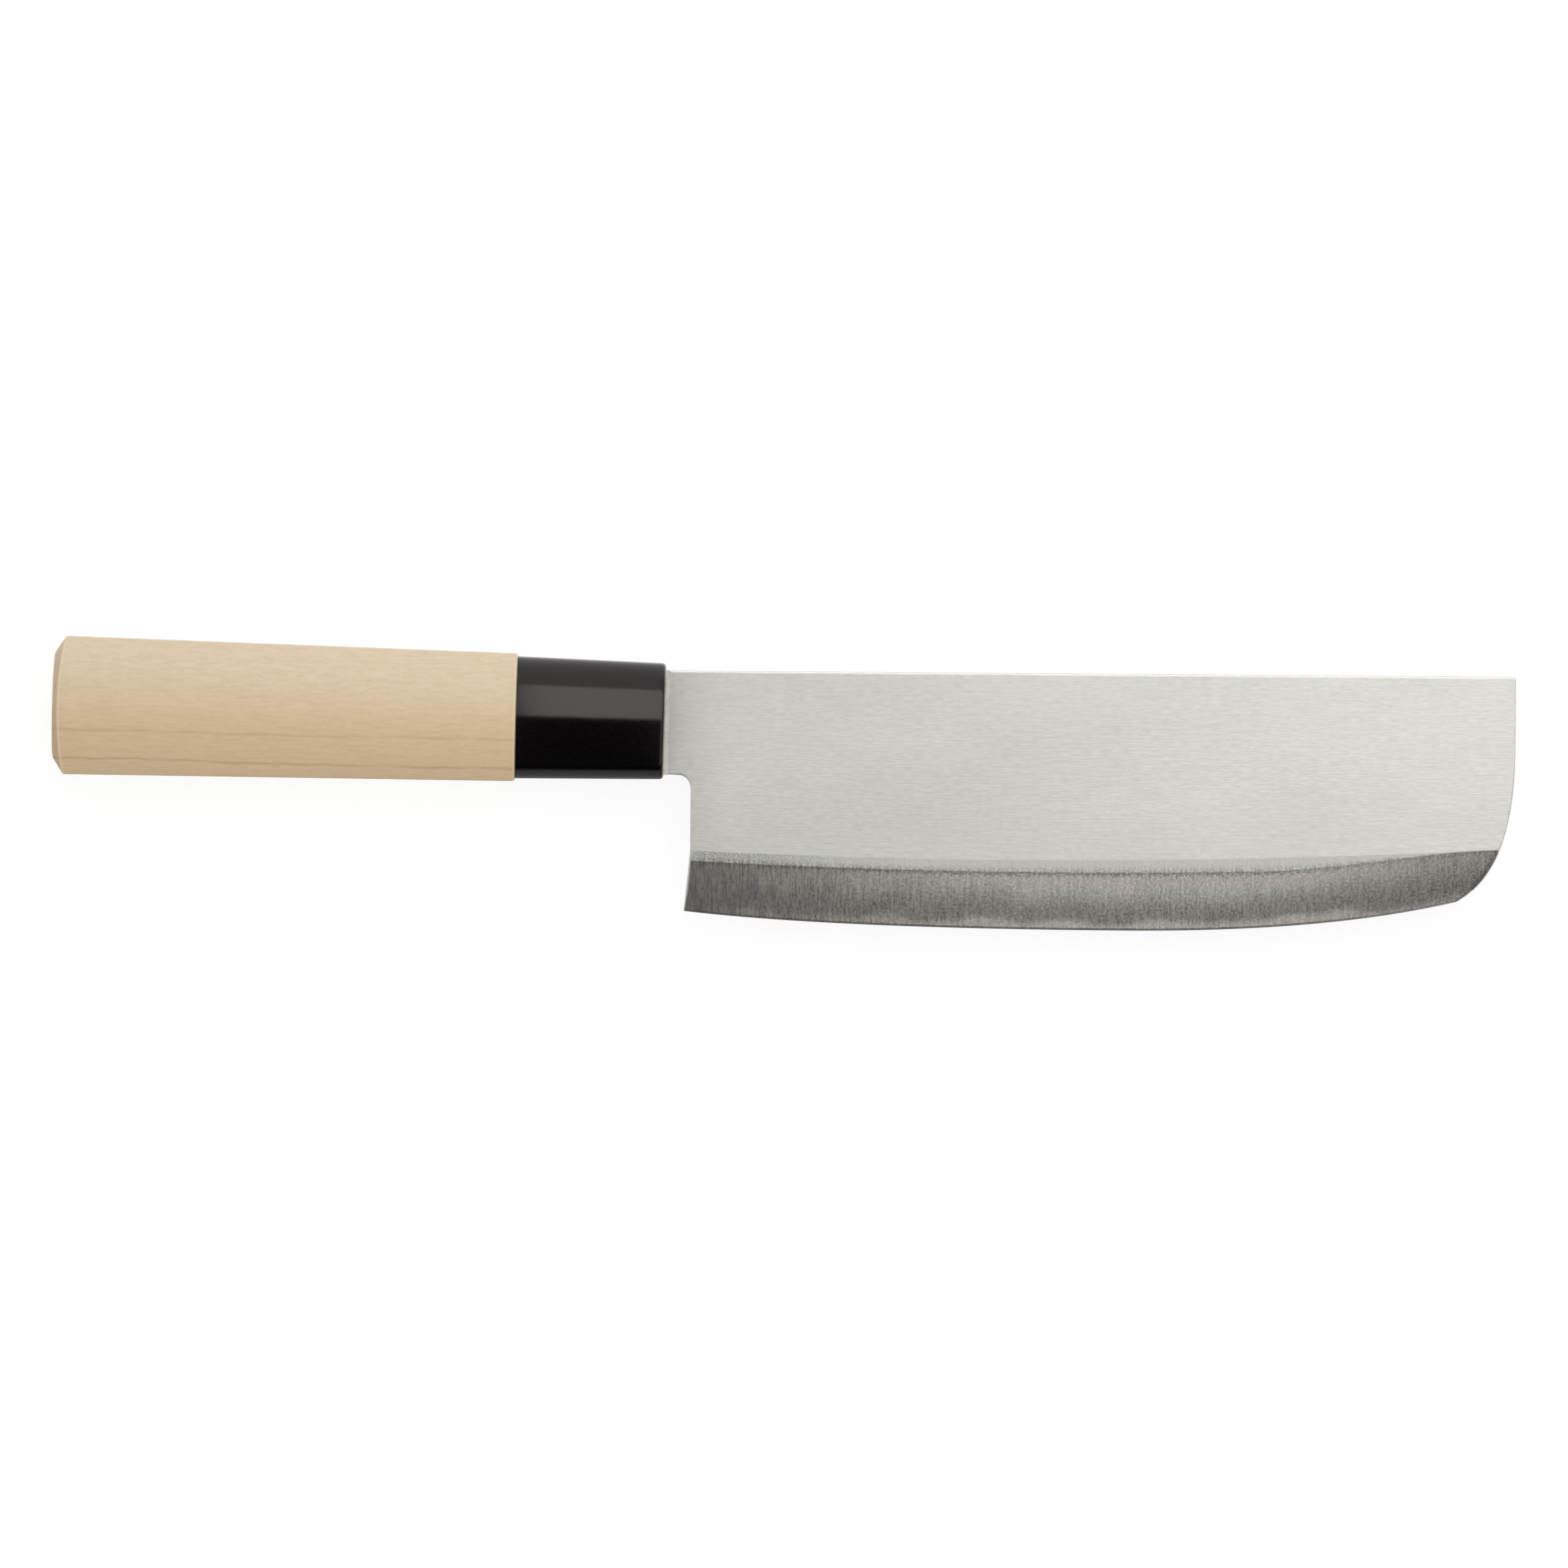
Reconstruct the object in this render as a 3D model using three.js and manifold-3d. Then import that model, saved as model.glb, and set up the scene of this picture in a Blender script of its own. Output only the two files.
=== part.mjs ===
// Kitchen knife for vegetables: a broad single-bevel blade, a ferrule and an oval wooden handle.
// Millimetres. The handle's axis runs along X with the tip at +X, the spine lies towards +Y and the
// bevelled face looks up, along +Z. Depths on the blade are measured down from the spine.
import * as THREE from 'three';
import { mergeVertices } from 'three/addons/utils/BufferGeometryUtils.js';
import Module from 'manifold-3d';

const wasm = await Module();
wasm.setup();

// Clearance left where one piece sits inside or against another
const FIT = 0.3;

// Blade outline: lengths run from the ferrule's face, depths from the spine
const BLADE_LENGTH = 165;
const BLADE_DEPTH = 49.75;
const BLADE_THICKNESS = 2;
const BLADE_RISE_DEG = 1.12;
const SPINE_STEP = 1.4;
const NECK_STEP = 0.9;
const CHOIL_RADIUS = 2.6;
const HEEL_SIDE_X = 5.2;
const HEEL_FLARE = 1.4;
const HEEL_LIFT = 3.15;
const HEEL_SLOPE_DEG = 6.4;
const BELLY_X = 90;
const TIP_CORNER_RUN = 11.2;
const TIP_CORNER_LIFT = 6.05;
const TIP_CORNER_SLOPE_DEG = 28;
const TIP_EDGE_SLOPE_DEG = 13.5;
const TIP_STRAIGHT_DEPTH = 14;
const TIP_TOP_RADIUS = 0.8;

// Bevel on the front face under a shallow shoulder, whose heights are above the edge's lowest point
const SHOULDER_HEEL_HEIGHT = 15.05;
const SHOULDER_MIDDLE_HEIGHT = 13.55;
const SHOULDER_TIP_HEIGHT = 16.45;
const SHOULDER_WIDTH = 2;
const SHOULDER_LEAST_WIDTH = 0.1;
const SHOULDER_DROP = 0.1;
const SHOULDER_FADE_START = 50;
const SHOULDER_FADE_END = 5;
const EDGE_LAND = 0.15;

// Hollow ground into the back, inside a flat rim
const HOLLOW_DEPTH = 0.25;
const HOLLOW_HEEL_RIM = 9;
const HOLLOW_TIP_RIM = 12;
const HOLLOW_SPINE_RIM = 4;
const HOLLOW_EDGE_RIM = 2.5;
const HOLLOW_UNDERCUT = 0.03;

// Tang inside the handle
const TANG_LENGTH = 78;
const TANG_ROOT_HEIGHT = 10;
const TANG_END_HEIGHT = 6;
const BEDDING_WALL = 1.2;

// Strip of resin between the ferrule and the neck
const SEAL_THICKNESS = 0.6;
const SEAL_RIM = 0.5;
const SEAL_INSET = 0.6;

// Ferrule
const FERRULE_LENGTH = 28.8;
const FERRULE_TAPER_HEIGHT = 1.2;
const FERRULE_TAPER_THICKNESS = 0.7;
const FERRULE_WALL = 2.2;
const FERRULE_FRONT_WALL = 4.5;
const FERRULE_RIM_RADIUS = 0.5;

// Wooden handle
const WOOD_LENGTH = 89.8;
const WOOD_FRONT_HEIGHT = 24.8;
const WOOD_FRONT_THICKNESS = 19.3;
const WOOD_FLARE_HEIGHT = 2.1;
const WOOD_FLARE_THICKNESS = 1.7;
const WOOD_STEP = 0.55;
const WOOD_FRONT_BREAK = 0.3;
const BUTT_CHAMFER_INSET_HEIGHT = 3.3;
const BUTT_CHAMFER_INSET_THICKNESS = 1.9;
const BUTT_CHAMFER_LENGTH_HEIGHT = 2.1;
const BUTT_CHAMFER_LENGTH_THICKNESS = 1.1;

// Fineness of the curves
const OVAL_SIDES = 64;
const CURVE_STEPS = 24;
const RIM_STEPS = 4;
const HOLLOW_STEPS_X = 24;
const HOLLOW_STEPS_Y = 8;

// How far a cutting solid reaches past the face that it cuts
const CUT_MARGIN = 2;

const slopeOf = (degrees) => Math.tan(THREE.MathUtils.degToRad(degrees));

// Sizes that follow from the ones above
const ferruleRear = {
  height: WOOD_FRONT_HEIGHT - 2 * WOOD_STEP,
  thickness: WOOD_FRONT_THICKNESS - 2 * WOOD_STEP,
};
const ferruleFront = {
  height: ferruleRear.height - FERRULE_TAPER_HEIGHT,
  thickness: ferruleRear.thickness - FERRULE_TAPER_THICKNESS,
};
const bladeRise = THREE.MathUtils.degToRad(BLADE_RISE_DEG);
const halfBlade = BLADE_THICKNESS / 2;
const spineHeight = ferruleFront.height / 2 - SPINE_STEP;
const neckDepth = spineHeight + ferruleFront.height / 2 - NECK_STEP;
const shouldersX = SEAL_THICKNESS + FIT;
const heelX = HEEL_SIDE_X - HEEL_FLARE;
const heelDepth = BLADE_DEPTH - HEEL_LIFT;
const tipCornerX = BLADE_LENGTH - TIP_CORNER_RUN;
const tipCornerDepth = BLADE_DEPTH - TIP_CORNER_LIFT;
const beddingHeight = TANG_ROOT_HEIGHT + 2 * (FIT + BEDDING_WALL);
const beddingWidth = BLADE_THICKNESS + 2 * (FIT + BEDDING_WALL);
const beddingEndX = -TANG_LENGTH - FIT - BEDDING_WALL;
const tenonEndX = -FERRULE_FRONT_WALL - FIT;

// Solids and meshes

function solidOf(geometry) {
  geometry.deleteAttribute('normal');
  geometry.deleteAttribute('uv');
  const welded = mergeVertices(geometry);
  const vertProperties = new Float32Array(welded.attributes.position.array);
  const triVerts = new Uint32Array(welded.index.array);
  return new wasm.Manifold(new wasm.Mesh({ numProp: 3, vertProperties, triVerts }));
}

function meshOf(name, solid, material) {
  const { vertProperties, triVerts } = solid.getMesh();
  const geometry = new THREE.BufferGeometry();
  geometry.setAttribute('position', new THREE.BufferAttribute(vertProperties, 3));
  geometry.setIndex(new THREE.BufferAttribute(triVerts, 1));
  geometry.computeVertexNormals();
  const mesh = new THREE.Mesh(geometry, new THREE.MeshStandardMaterial(material));
  mesh.name = name;
  return mesh;
}

// An outline in X and Y, thickened evenly to both sides of the blade's middle plane.
function plate(shape, thickness) {
  const options = { depth: thickness, bevelEnabled: false, curveSegments: CURVE_STEPS };
  return new THREE.ExtrudeGeometry(shape, options).translate(0, 0, -thickness / 2);
}

// An outline in Y and Z, drawn along X from one station to another.
function alongX(shape, from, to) {
  const options = { depth: to - from, bevelEnabled: false, curveSegments: CURVE_STEPS };
  const turn = new THREE.Matrix4().makeBasis(
    new THREE.Vector3(0, 1, 0),
    new THREE.Vector3(0, 0, 1),
    new THREE.Vector3(1, 0, 0),
  );
  return new THREE.ExtrudeGeometry(shape, options).applyMatrix4(turn).translate(from, 0, 0);
}

// A closed body through rings that follow each other along +X. Every ring has as many points,
// listed counter-clockwise as seen from the +X end.
function loft(rings) {
  const sides = rings[0].length;
  const last = (rings.length - 1) * sides;
  const index = [];
  for (let ring = 0; ring < rings.length - 1; ring += 1) {
    for (let side = 0; side < sides; side += 1) {
      const here = ring * sides + side;
      const next = ring * sides + ((side + 1) % sides);
      index.push(here, next, next + sides);
      index.push(here, next + sides, here + sides);
    }
  }
  const capOf = (ring) => THREE.ShapeUtils.triangulateShape(
    ring.map((point) => new THREE.Vector2(point.y, point.z)),
    [],
  );
  capOf(rings[0]).forEach(([a, b, c]) => index.push(a, c, b));
  capOf(rings.at(-1)).forEach(([a, b, c]) => index.push(last + a, last + b, last + c));
  const geometry = new THREE.BufferGeometry();
  const positions = rings.flat().flatMap((point) => point.toArray());
  geometry.setAttribute('position', new THREE.Float32BufferAttribute(positions, 3));
  geometry.setIndex(index);
  return geometry;
}

const ovalAngle = (side) => (2 * Math.PI * side) / OVAL_SIDES;

// One oval ring at a place along X.
function ovalRing(height, thickness, x) {
  return Array.from({ length: OVAL_SIDES }, (_, side) => {
    const y = (height / 2) * Math.cos(ovalAngle(side));
    const z = (thickness / 2) * Math.sin(ovalAngle(side));
    return new THREE.Vector3(x, y, z);
  });
}

// Slot outline with round ends, tall along its first axis.
function slotShape(height, width) {
  const radius = width / 2;
  const reach = height / 2 - radius;
  const shape = new THREE.Shape();
  shape.absarc(reach, 0, radius, -Math.PI / 2, Math.PI / 2, false);
  shape.absarc(-reach, 0, radius, Math.PI / 2, (3 * Math.PI) / 2, false);
  return shape;
}

// Blade

// Turns a place on the blade (along the spine, depth below it) into the handle's frame.
function onBlade(along, depth) {
  const place = new THREE.Vector2(along, -depth);
  return place.rotateAround(new THREE.Vector2(0, 0), bladeRise).add(new THREE.Vector2(0, spineHeight));
}

// The place on a line across the blade, at one depth, where X in the handle's frame has a given value.
function neckPoint(depth, x) {
  const along = (x - depth * Math.sin(bladeRise)) / Math.cos(bladeRise);
  return onBlade(along, depth);
}

// The cutting edge in blade terms: two curves that meet level at the belly.
const heelControlX = heelX + HEEL_LIFT / slopeOf(HEEL_SLOPE_DEG);
const tipControlX = tipCornerX - TIP_CORNER_LIFT / slopeOf(TIP_EDGE_SLOPE_DEG);
const heelCurve = new THREE.QuadraticBezierCurve(
  new THREE.Vector2(heelX, heelDepth),
  new THREE.Vector2(heelControlX, BLADE_DEPTH),
  new THREE.Vector2(BELLY_X, BLADE_DEPTH),
);
const tipCurve = new THREE.QuadraticBezierCurve(
  new THREE.Vector2(BELLY_X, BLADE_DEPTH),
  new THREE.Vector2(tipControlX, BLADE_DEPTH),
  new THREE.Vector2(tipCornerX, tipCornerDepth),
);

// Corners of the tang, grown by a clearance: root top, end top, end bottom, root bottom.
function tangCorners(rootX, grow) {
  const root = TANG_ROOT_HEIGHT / 2 + grow;
  const end = TANG_END_HEIGHT / 2 + grow;
  return [
    new THREE.Vector2(rootX, root),
    new THREE.Vector2(-TANG_LENGTH - grow, end),
    new THREE.Vector2(-TANG_LENGTH - grow, -end),
    new THREE.Vector2(rootX, -root),
  ];
}

function bladeOutline() {
  const shape = new THREE.Shape();
  const lineTo = (point) => shape.lineTo(point.x, point.y);
  const curveTo = (control, end) => shape.quadraticCurveTo(control.x, control.y, end.x, end.y);
  const frontControlDepth = tipCornerDepth - TIP_CORNER_RUN * slopeOf(TIP_CORNER_SLOPE_DEG);

  const [rootTop, endTop, endBottom, rootBottom] = tangCorners(shouldersX, 0);
  shape.moveTo(rootTop.x, rootTop.y);
  lineTo(endTop);
  lineTo(endBottom);
  lineTo(rootBottom);
  lineTo(neckPoint(neckDepth, shouldersX));
  lineTo(onBlade(HEEL_SIDE_X - CHOIL_RADIUS, neckDepth));
  const choil = onBlade(HEEL_SIDE_X - CHOIL_RADIUS, neckDepth + CHOIL_RADIUS);
  shape.absarc(choil.x, choil.y, CHOIL_RADIUS, Math.PI / 2 + bladeRise, bladeRise, true);
  lineTo(onBlade(HEEL_SIDE_X, shoulderDepth(HEEL_SIDE_X)));
  lineTo(onBlade(heelX, heelDepth));
  curveTo(onBlade(heelControlX, BLADE_DEPTH), onBlade(BELLY_X, BLADE_DEPTH));
  curveTo(onBlade(tipControlX, BLADE_DEPTH), onBlade(tipCornerX, tipCornerDepth));
  curveTo(onBlade(BLADE_LENGTH, frontControlDepth), onBlade(BLADE_LENGTH, TIP_STRAIGHT_DEPTH));
  const topCorner = onBlade(BLADE_LENGTH - TIP_TOP_RADIUS, TIP_TOP_RADIUS);
  shape.absarc(topCorner.x, topCorner.y, TIP_TOP_RADIUS, bladeRise, Math.PI / 2 + bladeRise, false);
  lineTo(neckPoint(0, shouldersX));
  return shape;
}

// Edge points from heel to tip, carried straight on past both ends of the blade.
function edgeStations() {
  const before = CUT_MARGIN + heelX;
  const after = CUT_MARGIN + TIP_CORNER_RUN;
  return [
    new THREE.Vector2(heelX - before, heelDepth - before * slopeOf(HEEL_SLOPE_DEG)),
    ...heelCurve.getPoints(CURVE_STEPS),
    ...tipCurve.getPoints(CURVE_STEPS).slice(1),
    new THREE.Vector2(tipCornerX + after, tipCornerDepth - after * slopeOf(TIP_EDGE_SLOPE_DEG)),
  ];
}

// Depth of the line where the flat face ends and the shoulder starts.
function shoulderDepth(along) {
  const share = along / BLADE_LENGTH;
  const bow = (SHOULDER_HEEL_HEIGHT + SHOULDER_TIP_HEIGHT) / 2 - SHOULDER_MIDDLE_HEIGHT;
  const straight = THREE.MathUtils.lerp(SHOULDER_HEEL_HEIGHT, SHOULDER_TIP_HEIGHT, share);
  return BLADE_DEPTH - straight + 4 * bow * share * (1 - share);
}

// What the grinding of the bevel takes away above the edge.
function bevelCut() {
  const rings = edgeStations().map(({ x, y: edgeDepth }) => {
    const fade = THREE.MathUtils.smoothstep(BLADE_LENGTH - x, SHOULDER_FADE_END, SHOULDER_FADE_START);
    const width = Math.max(SHOULDER_WIDTH * fade, SHOULDER_LEAST_WIDTH);
    const top = shoulderDepth(x);
    const bevelTop = top + width;
    const bevelTopZ = halfBlade - (SHOULDER_DROP * width) / SHOULDER_WIDTH;
    const edgeZ = EDGE_LAND - halfBlade;
    const fall = (bevelTopZ - edgeZ) / (edgeDepth - bevelTop);
    const far = edgeDepth + CUT_MARGIN;
    return [
      new THREE.Vector3(x, -top, halfBlade + CUT_MARGIN),
      new THREE.Vector3(x, -far, halfBlade + CUT_MARGIN),
      new THREE.Vector3(x, -far, edgeZ - CUT_MARGIN * fall),
      new THREE.Vector3(x, -bevelTop, bevelTopZ),
      new THREE.Vector3(x, -top, halfBlade),
    ];
  });
  return loft(rings).rotateZ(bladeRise).translate(0, spineHeight, 0);
}

// Depth of the cutting edge at a place along the blade.
function edgeDepthAt(along) {
  const stations = edgeStations();
  const next = stations.findIndex((station) => station.x >= along);
  const [a, b] = [stations[next - 1], stations[next]];
  return THREE.MathUtils.mapLinear(along, a.x, b.x, a.y, b.y);
}

// What is ground out of the back, deepest in the middle and fading to a flat rim all round.
function hollowCut() {
  const hollowStartX = HEEL_SIDE_X + HOLLOW_HEEL_RIM;
  const hollowEndX = BLADE_LENGTH - HOLLOW_TIP_RIM;
  const rings = Array.from({ length: HOLLOW_STEPS_X + 1 }, (_, step) => {
    const u = (2 * step) / HOLLOW_STEPS_X - 1;
    const x = THREE.MathUtils.mapLinear(u, -1, 1, hollowStartX, hollowEndX);
    const low = edgeDepthAt(x) - HOLLOW_EDGE_RIM;
    const points = [];
    for (let row = 0; row <= HOLLOW_STEPS_Y; row += 1) {
      const v = (2 * row) / HOLLOW_STEPS_Y - 1;
      const depth = THREE.MathUtils.mapLinear(v, -1, 1, HOLLOW_SPINE_RIM, low);
      const rise = (HOLLOW_DEPTH + HOLLOW_UNDERCUT) * (1 - u ** 4) * (1 - v ** 2);
      points.push(new THREE.Vector3(x, -depth, rise - HOLLOW_UNDERCUT - halfBlade));
    }
    points.push(new THREE.Vector3(x, -low, -halfBlade - CUT_MARGIN));
    points.push(new THREE.Vector3(x, -HOLLOW_SPINE_RIM, -halfBlade - CUT_MARGIN));
    return points;
  });
  return loft(rings).rotateZ(bladeRise).translate(0, spineHeight, 0);
}

function makeBlade() {
  const body = solidOf(plate(bladeOutline(), BLADE_THICKNESS));
  const ground = body.subtract(solidOf(bevelCut())).subtract(solidOf(hollowCut()));
  return meshOf('blade', ground, { color: 0xcfcdc6, roughness: 0.35, metalness: 0.9 });
}

// Handle

// The room that the tang needs in each piece that it passes through.
function tangRoom() {
  const outline = new THREE.Shape(tangCorners(shouldersX, FIT));
  return solidOf(plate(outline, BLADE_THICKNESS + 2 * FIT));
}

function makeMouthSeal() {
  const top = spineHeight - SEAL_INSET;
  const bottom = spineHeight - neckDepth + SEAL_INSET;
  const outline = slotShape(top - bottom, BLADE_THICKNESS + 2 * (FIT + SEAL_RIM));
  const strip = alongX(outline, 0, SEAL_THICKNESS).translate(0, (top + bottom) / 2, 0);
  const seal = solidOf(strip).subtract(tangRoom());
  return meshOf('mouth_seal', seal, { color: 0xb4b0a6, roughness: 0.55, metalness: 0 });
}

// Outer size of the ferrule at a place along X, less an inset on every side.
function ferruleRing(x, inset) {
  const share = -x / FERRULE_LENGTH;
  const height = THREE.MathUtils.lerp(ferruleFront.height, ferruleRear.height, share);
  const thickness = THREE.MathUtils.lerp(ferruleFront.thickness, ferruleRear.thickness, share);
  return ovalRing(height - 2 * inset, thickness - 2 * inset, x);
}

function makeFerrule() {
  const rings = [ferruleRing(-FERRULE_LENGTH, 0)];
  for (let step = 0; step <= RIM_STEPS; step += 1) {
    const angle = (Math.PI / 2) * (step / RIM_STEPS);
    const x = FERRULE_RIM_RADIUS * (Math.sin(angle) - 1);
    rings.push(ferruleRing(x, FERRULE_RIM_RADIUS * (1 - Math.cos(angle))));
  }
  const socket = loft([
    ferruleRing(-FERRULE_LENGTH - CUT_MARGIN, FERRULE_WALL),
    ferruleRing(-FERRULE_FRONT_WALL, FERRULE_WALL),
  ]);
  const ferrule = solidOf(loft(rings)).subtract(solidOf(socket)).subtract(tangRoom());
  return meshOf('ferrule', ferrule, { color: 0x0b0b0c, roughness: 0.15, metalness: 0 });
}

function makeTangBedding() {
  const block = alongX(slotShape(beddingHeight, beddingWidth), beddingEndX, tenonEndX);
  const bedding = solidOf(block).subtract(tangRoom());
  return meshOf('tang_bedding', bedding, { color: 0xa38f63, roughness: 0.5, metalness: 0 });
}

// Outer size of the wood at a place along X, less an inset on every side.
function woodSize(x, inset) {
  const share = (-x - FERRULE_LENGTH) / WOOD_LENGTH;
  return {
    height: WOOD_FRONT_HEIGHT + share * WOOD_FLARE_HEIGHT - 2 * inset,
    thickness: WOOD_FRONT_THICKNESS + share * WOOD_FLARE_THICKNESS - 2 * inset,
  };
}

function woodRing(x, inset) {
  const { height, thickness } = woodSize(x, inset);
  return ovalRing(height, thickness, x);
}

// The butt's flat end and the ring where its chamfer runs out, longest at the top and bottom.
function buttRings() {
  const buttX = -FERRULE_LENGTH - WOOD_LENGTH;
  const chamferLength = (angle) => THREE.MathUtils.lerp(
    BUTT_CHAMFER_LENGTH_THICKNESS,
    BUTT_CHAMFER_LENGTH_HEIGHT,
    Math.cos(angle) ** 2,
  );
  const butt = woodSize(buttX, 0);
  const flat = ovalRing(
    butt.height - 2 * BUTT_CHAMFER_INSET_HEIGHT,
    butt.thickness - 2 * BUTT_CHAMFER_INSET_THICKNESS,
    buttX,
  );
  const runOut = flat.map((_, side) => {
    const x = buttX + chamferLength(ovalAngle(side));
    return woodRing(x, 0)[side];
  });
  return [flat, runOut];
}

function makeHandleBody() {
  const shoulderX = -FERRULE_LENGTH;
  const rings = [
    ...buttRings(),
    woodRing(shoulderX - WOOD_FRONT_BREAK, 0),
    woodRing(shoulderX, WOOD_FRONT_BREAK),
    ferruleRing(shoulderX, FERRULE_WALL + FIT),
    ferruleRing(tenonEndX, FERRULE_WALL + FIT),
  ];
  const mortiseShape = slotShape(beddingHeight + 2 * FIT, beddingWidth + 2 * FIT);
  const mortise = alongX(mortiseShape, beddingEndX - FIT, tenonEndX + CUT_MARGIN);
  const body = solidOf(loft(rings)).subtract(solidOf(mortise));
  return meshOf('handle_body', body, { color: 0xd6c19d, roughness: 0.65, metalness: 0 });
}

// Assembly, moved so that the origin lies under the middle of the knife, level with its lowest side

const knife = new THREE.Group();
knife.add(makeBlade(), makeMouthSeal(), makeFerrule(), makeTangBedding(), makeHandleBody());
const extent = new THREE.Box3().setFromObject(knife);
const middle = extent.getCenter(new THREE.Vector3());
knife.position.set(-middle.x, -middle.y, -extent.min.z);

const part = new THREE.Group();
part.add(knife);

export default part;
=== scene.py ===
"""Vegetable knife: fine meshes, finishes, studio light and camera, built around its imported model.

Metres. The handle's axis runs along X with the tip at +X, the spine lies towards +Y and the bevelled
face looks up. Places on the blade are given along the spine and in depth below it.
"""
import math

import bmesh
import bpy
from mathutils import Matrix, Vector


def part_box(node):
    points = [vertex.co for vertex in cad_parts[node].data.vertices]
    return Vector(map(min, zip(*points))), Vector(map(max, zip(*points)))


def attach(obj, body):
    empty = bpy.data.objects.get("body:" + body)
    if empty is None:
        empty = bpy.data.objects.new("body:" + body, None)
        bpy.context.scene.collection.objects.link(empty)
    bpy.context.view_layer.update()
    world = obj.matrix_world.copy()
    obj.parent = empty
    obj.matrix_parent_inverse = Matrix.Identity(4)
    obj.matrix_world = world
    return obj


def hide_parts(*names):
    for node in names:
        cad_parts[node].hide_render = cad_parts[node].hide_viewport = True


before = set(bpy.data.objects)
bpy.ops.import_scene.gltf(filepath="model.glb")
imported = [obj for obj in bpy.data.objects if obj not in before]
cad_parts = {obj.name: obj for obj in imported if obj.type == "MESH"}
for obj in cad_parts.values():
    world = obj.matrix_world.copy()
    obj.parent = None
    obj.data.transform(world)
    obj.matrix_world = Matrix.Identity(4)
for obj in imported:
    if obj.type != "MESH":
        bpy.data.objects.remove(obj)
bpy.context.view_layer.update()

# Sizes that the frame gives
ferrule_low, ferrule_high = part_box("ferrule")
wood_low, wood_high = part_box("handle_body")
blade_low, blade_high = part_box("blade")
FERRULE_LENGTH = ferrule_high.x - ferrule_low.x
FERRULE_REAR = Vector((ferrule_high.y - ferrule_low.y, ferrule_high.z - ferrule_low.z))
WOOD_LENGTH = ferrule_low.x - wood_low.x
TENON_END_X = wood_high.x - ferrule_high.x
BLADE_THICKNESS = blade_high.z - blade_low.z
# The handle's axis at the ferrule's face, in the middle plane of the blade
MOUTH = Vector((ferrule_high.x, (ferrule_low.y + ferrule_high.y) / 2, (blade_low.z + blade_high.z) / 2))

# Photograph: its size, the mouth's place and the blade's length on it, and the turn of the handle's axis
PHOTO_PIXELS = 1572
MOUTH_PIXEL = (666.3, 723.2)
BLADE_PIXELS = 852.1
PHOTO_TURN_DEG = 1.56
CAMERA_DISTANCE = 3.0
CAMERA_REACH = 4 * CAMERA_DISTANCE
SENSOR_WIDTH = 36.0

# Blade outline
BLADE_LENGTH = 0.165
BLADE_DEPTH = 0.04975
BLADE_RISE = math.radians(1.12)
SPINE_HEIGHT = 0.00985
NECK_X = 0.0009
NECK_DEPTH = 0.0202
CHOIL_RADIUS = 0.0026
HEEL_SIDE_X = 0.0050
HEEL_X = 0.0038
HEEL_DEPTH = 0.0466
HEEL_SLOPE_DEG = 6.4
BELLY_X = 0.09
TIP_CORNER_X = 0.1538
TIP_CORNER_DEPTH = 0.0437
TIP_CORNER_SLOPE_DEG = 28
TIP_EDGE_SLOPE_DEG = 13.5
TIP_STRAIGHT_DEPTH = 0.014
TIP_TOP_RADIUS = 0.0005

# Shoulder and bevel on the front, hollow on the back
SHOULDER_HEEL_HEIGHT = 0.01505
SHOULDER_MIDDLE_HEIGHT = 0.01355
SHOULDER_TIP_HEIGHT = 0.01645
SHOULDER_WIDTH = 0.0019
SHOULDER_WIDENING = 0.0009
SHOULDER_LEAST_WIDTH = 0.0001
SHOULDER_DROP = 0.0001
SHOULDER_FADE = (0.005, 0.05)
BEVEL_FOOT = 0.00015
BEVEL_CROWN = 0.00004
BEVEL_STEP = 0.00002
BEVEL_STEP_SHARE = 0.035
HONED_SHARE = 0.973
EDGE_LAND = 0.00003
HOLLOW_DEPTH = 0.00025
HOLLOW_HEEL_RIM = 0.009
HOLLOW_TIP_RIM = 0.012
HOLLOW_SPINE_RIM = 0.004
HOLLOW_EDGE_RIM = 0.0025
# Powers that shape the hollow: long and level along the blade, round across it
HOLLOW_ALONG_POWERS = (6, 2)
HOLLOW_ACROSS_POWERS = (2, 1.5)
EASED_EDGE = 0.0003
EASE_SHARE = 0.4

# Tang
TANG_LENGTH = 0.078
TANG_ROOT_HEIGHT = 0.01
TANG_END_HEIGHT = 0.006

# Mouth of the ferrule and the resin in it
FIT = 0.0003
SEAL_FOOT = 0.0009
SEAL_FOOT_EASE = 0.0001
SEAL_LIP = 0.00006
# The seal's hollow: the share of the foot's width left, the share of the height reached, its rounding
SEAL_HOLLOW_WIDTH = 0.3
SEAL_HOLLOW_HEIGHT = 0.45
SEAL_HOLLOW_EASE = 0.0002

# Ferrule and wood; pairs are along the section's height and thickness
FERRULE_TAPER = Vector((0.0012, 0.0007))
FERRULE_WALL = 0.0022
FERRULE_FRONT_WALL = 0.0045
FERRULE_RIM_RADIUS = 0.0008
FERRULE_REAR_EASE = 0.00015
WOOD_STEP = 0.00055
WOOD_FLARE = Vector((0.0021, 0.0017))
WOOD_FRONT_BREAK = 0.0003
WOOD_FRONT_EASE = WOOD_FRONT_BREAK / 3
BUTT_INSET = Vector((0.0033, 0.0019))
BUTT_CHAMFER_LENGTH = Vector((0.0021, 0.0011))
BUTT_EASE = 0.0003
BUTT_CENTRE_SHARE = 0.4
BEDDING_WALL = 0.0012

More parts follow.
